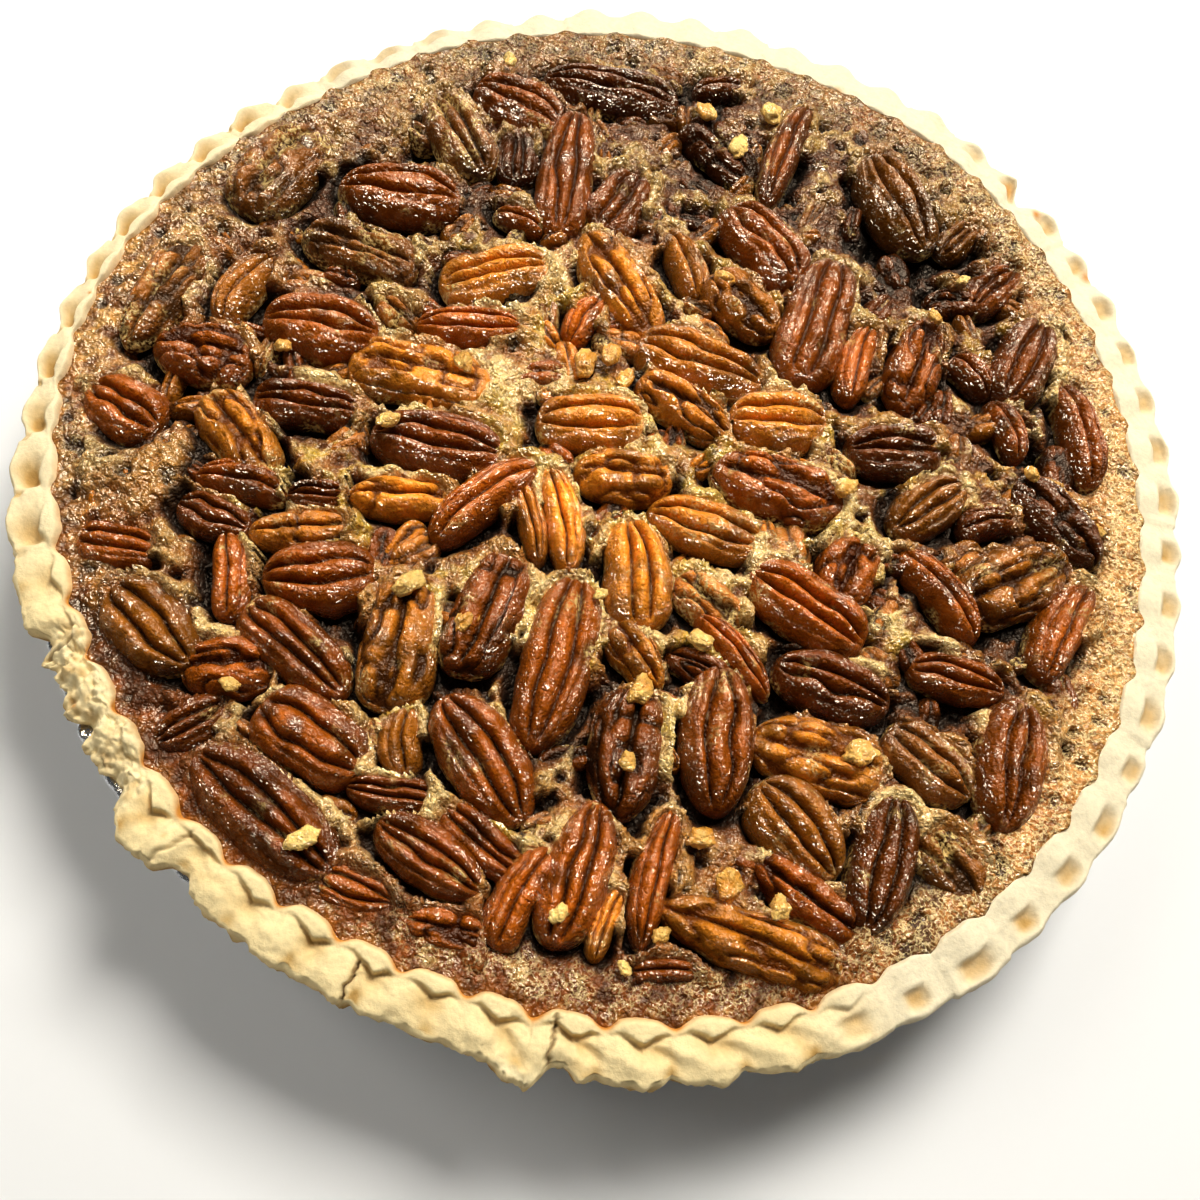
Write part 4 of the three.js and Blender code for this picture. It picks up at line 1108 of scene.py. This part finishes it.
bit_rows = np.stack([bit_x, bit_y, bit_long, bit_wide, bit_heading, bit_rise,
                     np.full(len(bit_x), bit_base)], 1)
bit_colours = ("brown", "frothed", "dark")
for index, colour_name in enumerate(bit_colours):
    rows = bit_rows[np.arange(len(bit_rows)) % len(bit_colours) == index]
    add_pecans(f"pecan_{colour_name}_bits", "wrinkled", rows, bit_grid, colour_name, [])


# ---- Nut crumbs ----
# Bits that broke off the halves when they were stirred in: pale where the white inside shows, amber
# where syrup has soaked them.

# Each crumb: x, y, size, height of its middle, and how amber it is.
nut_crumbs = np.array([
    (-47, -10, 6.0, 39.5, 0.4), (-36, 8, 6.5, 37.6, 0.6), (-34, -42, 7.5, 38.0, 0.2),
    (-22, -47, 6.5, 37.5, 0.6), (12.5, -53, 7.5, 37.6, 0.6), (12.5, -67, 5.0, 39.4, 0.6),
    (54, -56, 8.0, 38.6, 0.6), (22, -40.5, 6.5, 36.6, 0.3), (45, -2, 6.5, 38.6, 0.5),
    (13, 44, 6.0, 37.0, 0.8), (60, 45, 5.0, 38.2, 0.8), (84, 12, 5.0, 36.6, 0.6), (98, 2, 6.5, 35.6, 0.5),
    (-39, -92, 7.0, 39.3, 0.1), (6, -95, 5.0, 38.0, 0.0), (17, 95, 8.0, 36.2, 0.3),
    (11, 82, 7.5, 36.6, 0.2), (2, 90, 7.0, 37.0, 0.6), (66, 58, 4.0, 36.8, 0.0),
    (1.5, -36, 3.8, 38.0, 0.0), (19, -101, 4.0, 34.8, 0.0), (34, -84, 8.0, 37.0, 0.8),
    (-12, 16, 8.0, 35.2, 0.8), (-7, 19, 6.5, 35.8, 0.8), (-3, 14, 6.0, 35.4, 0.8),
    (-46, 93, 5.5, 36.6, 0.1), (24, -94.5, 5.0, 35.6, 0.6), (43, -86, 6.0, 38.4, 0.4),
    (28, -77, 6.5, 36.4, 0.8), (-60, -68, 4.5, 36.8, 0.4), (33, 52, 5.0, 36.0, 0.6),
    (-73, 4, 5.0, 35.4, 0.6),
])
crumb_rows = 12
crumb_columns = 20
half_length, half_width, half_height, knob_height = 0.38, 0.27, 0.2, 0.46  # as shares of its size
pale_inside = paint("F2CC74")
amber_soaked = paint("D08828")
cx, cy, size, middle = (nut_crumbs[:, k, None, None] for k in range(4))
number = np.arange(len(nut_crumbs))[:, None, None]
steps = ((np.arange(crumb_rows) + 0.7) / (crumb_rows + 0.4) * np.pi)[None, :, None]
turn = (2 * np.pi * np.arange(crumb_columns) / crumb_columns)[None, None, :]
# Each crumb is a sphere of rows and columns with knobs: its radius is 1 plus a noise.
ux, uy, uz = np.sin(steps) * np.cos(turn), np.sin(steps) * np.sin(turn), -np.cos(steps) + 0 * turn
knobs = 1 + knob_height * rough(ux * 2 + number * 7, uy * 2, uz * 2, 1.1, 71)
heading = scatter(number + 0.5) * np.pi
along, across = half_length * size * knobs * ux, half_width * size * knobs * uy
px = cx + along * np.cos(heading) - across * np.sin(heading)
py = cy + along * np.sin(heading) + across * np.cos(heading)
body = np.stack(np.broadcast_arrays(px, py, middle + half_height * size * knobs * uz), -1)
poles = [np.stack([cx, cy, middle + end * half_height * size], -1)[:, :, 0] for end in (-1, 1)]
points = np.concatenate([body.reshape(len(nut_crumbs), -1, 3), *poles], axis=1)
faces = nut_faces(len(nut_crumbs), points.shape[1], crumb_rows, crumb_columns)
soak = np.repeat(nut_crumbs[:, 4:5], points.shape[1], 1).ravel()
points = points.reshape(-1, 3)
patchy = rough(*points.T, 1.6, 72)
colour = blend(pale_inside, amber_soaked, soak + 0.5 * patchy)
add_piece("nut_crumbs", points, faces, pecan_materials["amber"], "pecan_amber", [], colour=colour,
          film=np.clip(0.4 - soak + 0.3 * patchy, 0, 1), gloss=0.3 + 0.4 * soak)


# ---- Floor, lights and camera ----
# A pale table. Soft daylight falls on the pie from the far right, with a weaker light from the left.
# Three warm ceiling lamps show in the gloss of the syrup alone.

floor_white = (0.82, 0.82, 0.81, 1)
daylight = (1.0, 0.97, 0.91)
lamplight = (1.0, 0.83, 0.60)
room_colour, room_strength = (1.0, 0.99, 0.97, 1), 0.09
# Each light: name, place, size, power, colour and the effect that is turned off.
lights = [
    ("key_light", (0.20, 0.48, 0.80), 0.35, 12.6, daylight, "visible_glossy"),
    ("soft_light", (-0.75, 0.1, 0.85), 0.5, 3.6, daylight, "visible_glossy"),
    ("ceiling_lamp_0", (0.22, 0.48, 0.80), 0.5, 74, lamplight, "visible_diffuse"),
    ("ceiling_lamp_1", (-0.2, 0.62, 0.72), 0.5, 40, lamplight, "visible_diffuse"),
    ("ceiling_lamp_2", (0.0, 0.35, 0.95), 0.5, 25, lamplight, "visible_diffuse"),
]
lit_point = Vector((0, 0, 0.03))

bpy.ops.mesh.primitive_plane_add(size=6.0, location=(0, 0, cad_low.z))
table = bpy.context.object
table.name = "pale_floor"
surface, tree, shader = new_material("pale_floor")
shader.inputs["Base Color"].default_value = floor_white
shader.inputs["Roughness"].default_value = 0.7
shader.inputs["Specular IOR Level"].default_value = 0.03
table.data.materials.append(surface)

for name, place, size, power, colour, turned_off in lights:
    lamp = bpy.data.lights.new(name, "AREA")
    lamp.shape = "SQUARE"
    lamp.size = size
    lamp.energy = power
    lamp.color = colour
    held = bpy.data.objects.new(name, lamp)
    held.location = place
    held.rotation_euler = (lit_point - Vector(place)).to_track_quat("-Z", "Y").to_euler()
    setattr(held, turned_off, False)
    bpy.context.collection.objects.link(held)
world = bpy.data.worlds.new("studio")
bpy.context.scene.world = world
world.use_nodes = True
room = world.node_tree.nodes["Background"]
room.inputs["Color"].default_value = room_colour
room.inputs["Strength"].default_value = room_strength
bpy.context.scene.view_settings.view_transform = "Standard"

# The camera stands close over the near edge. From facing the pie's middle it is turned a little to one
# side and down, and then rolled.
outline_height = 33.5
pie_radius = 120.0
stand_off = 1.907 * pie_radius
elevation = np.radians(59.28)
pan, nod, lean = np.radians((-0.45, -8.2, -12.46))
picture_size = 1200
focal_pixels = 1100
eye = Vector((0, -stand_off * np.cos(elevation), stand_off * np.sin(elevation)))
ahead = -eye.normalized()
right = Vector((1, 0, 0))
up = right.cross(ahead)
aim = Matrix.Rotation(pan, 3, up) @ Matrix.Rotation(nod, 3, right)
ahead, right, up = aim @ ahead, aim @ right, aim @ up
tilt = Matrix.Rotation(lean, 3, ahead)
right, up = tilt @ right, tilt @ up
lens = bpy.data.cameras.new("camera")
lens.sensor_width = 36
lens.lens = lens.sensor_width * focal_pixels / picture_size
lens.clip_start = 0.01
camera = bpy.data.objects.new("camera", lens)
turned = Matrix((right, up, -ahead)).transposed().to_4x4()
spot = eye * MM + Vector(pie_axis) + Vector((0, 0, outline_height * MM))
camera.matrix_world = Matrix.Translation(spot) @ turned
bpy.context.collection.objects.link(camera)
bpy.context.scene.camera = camera
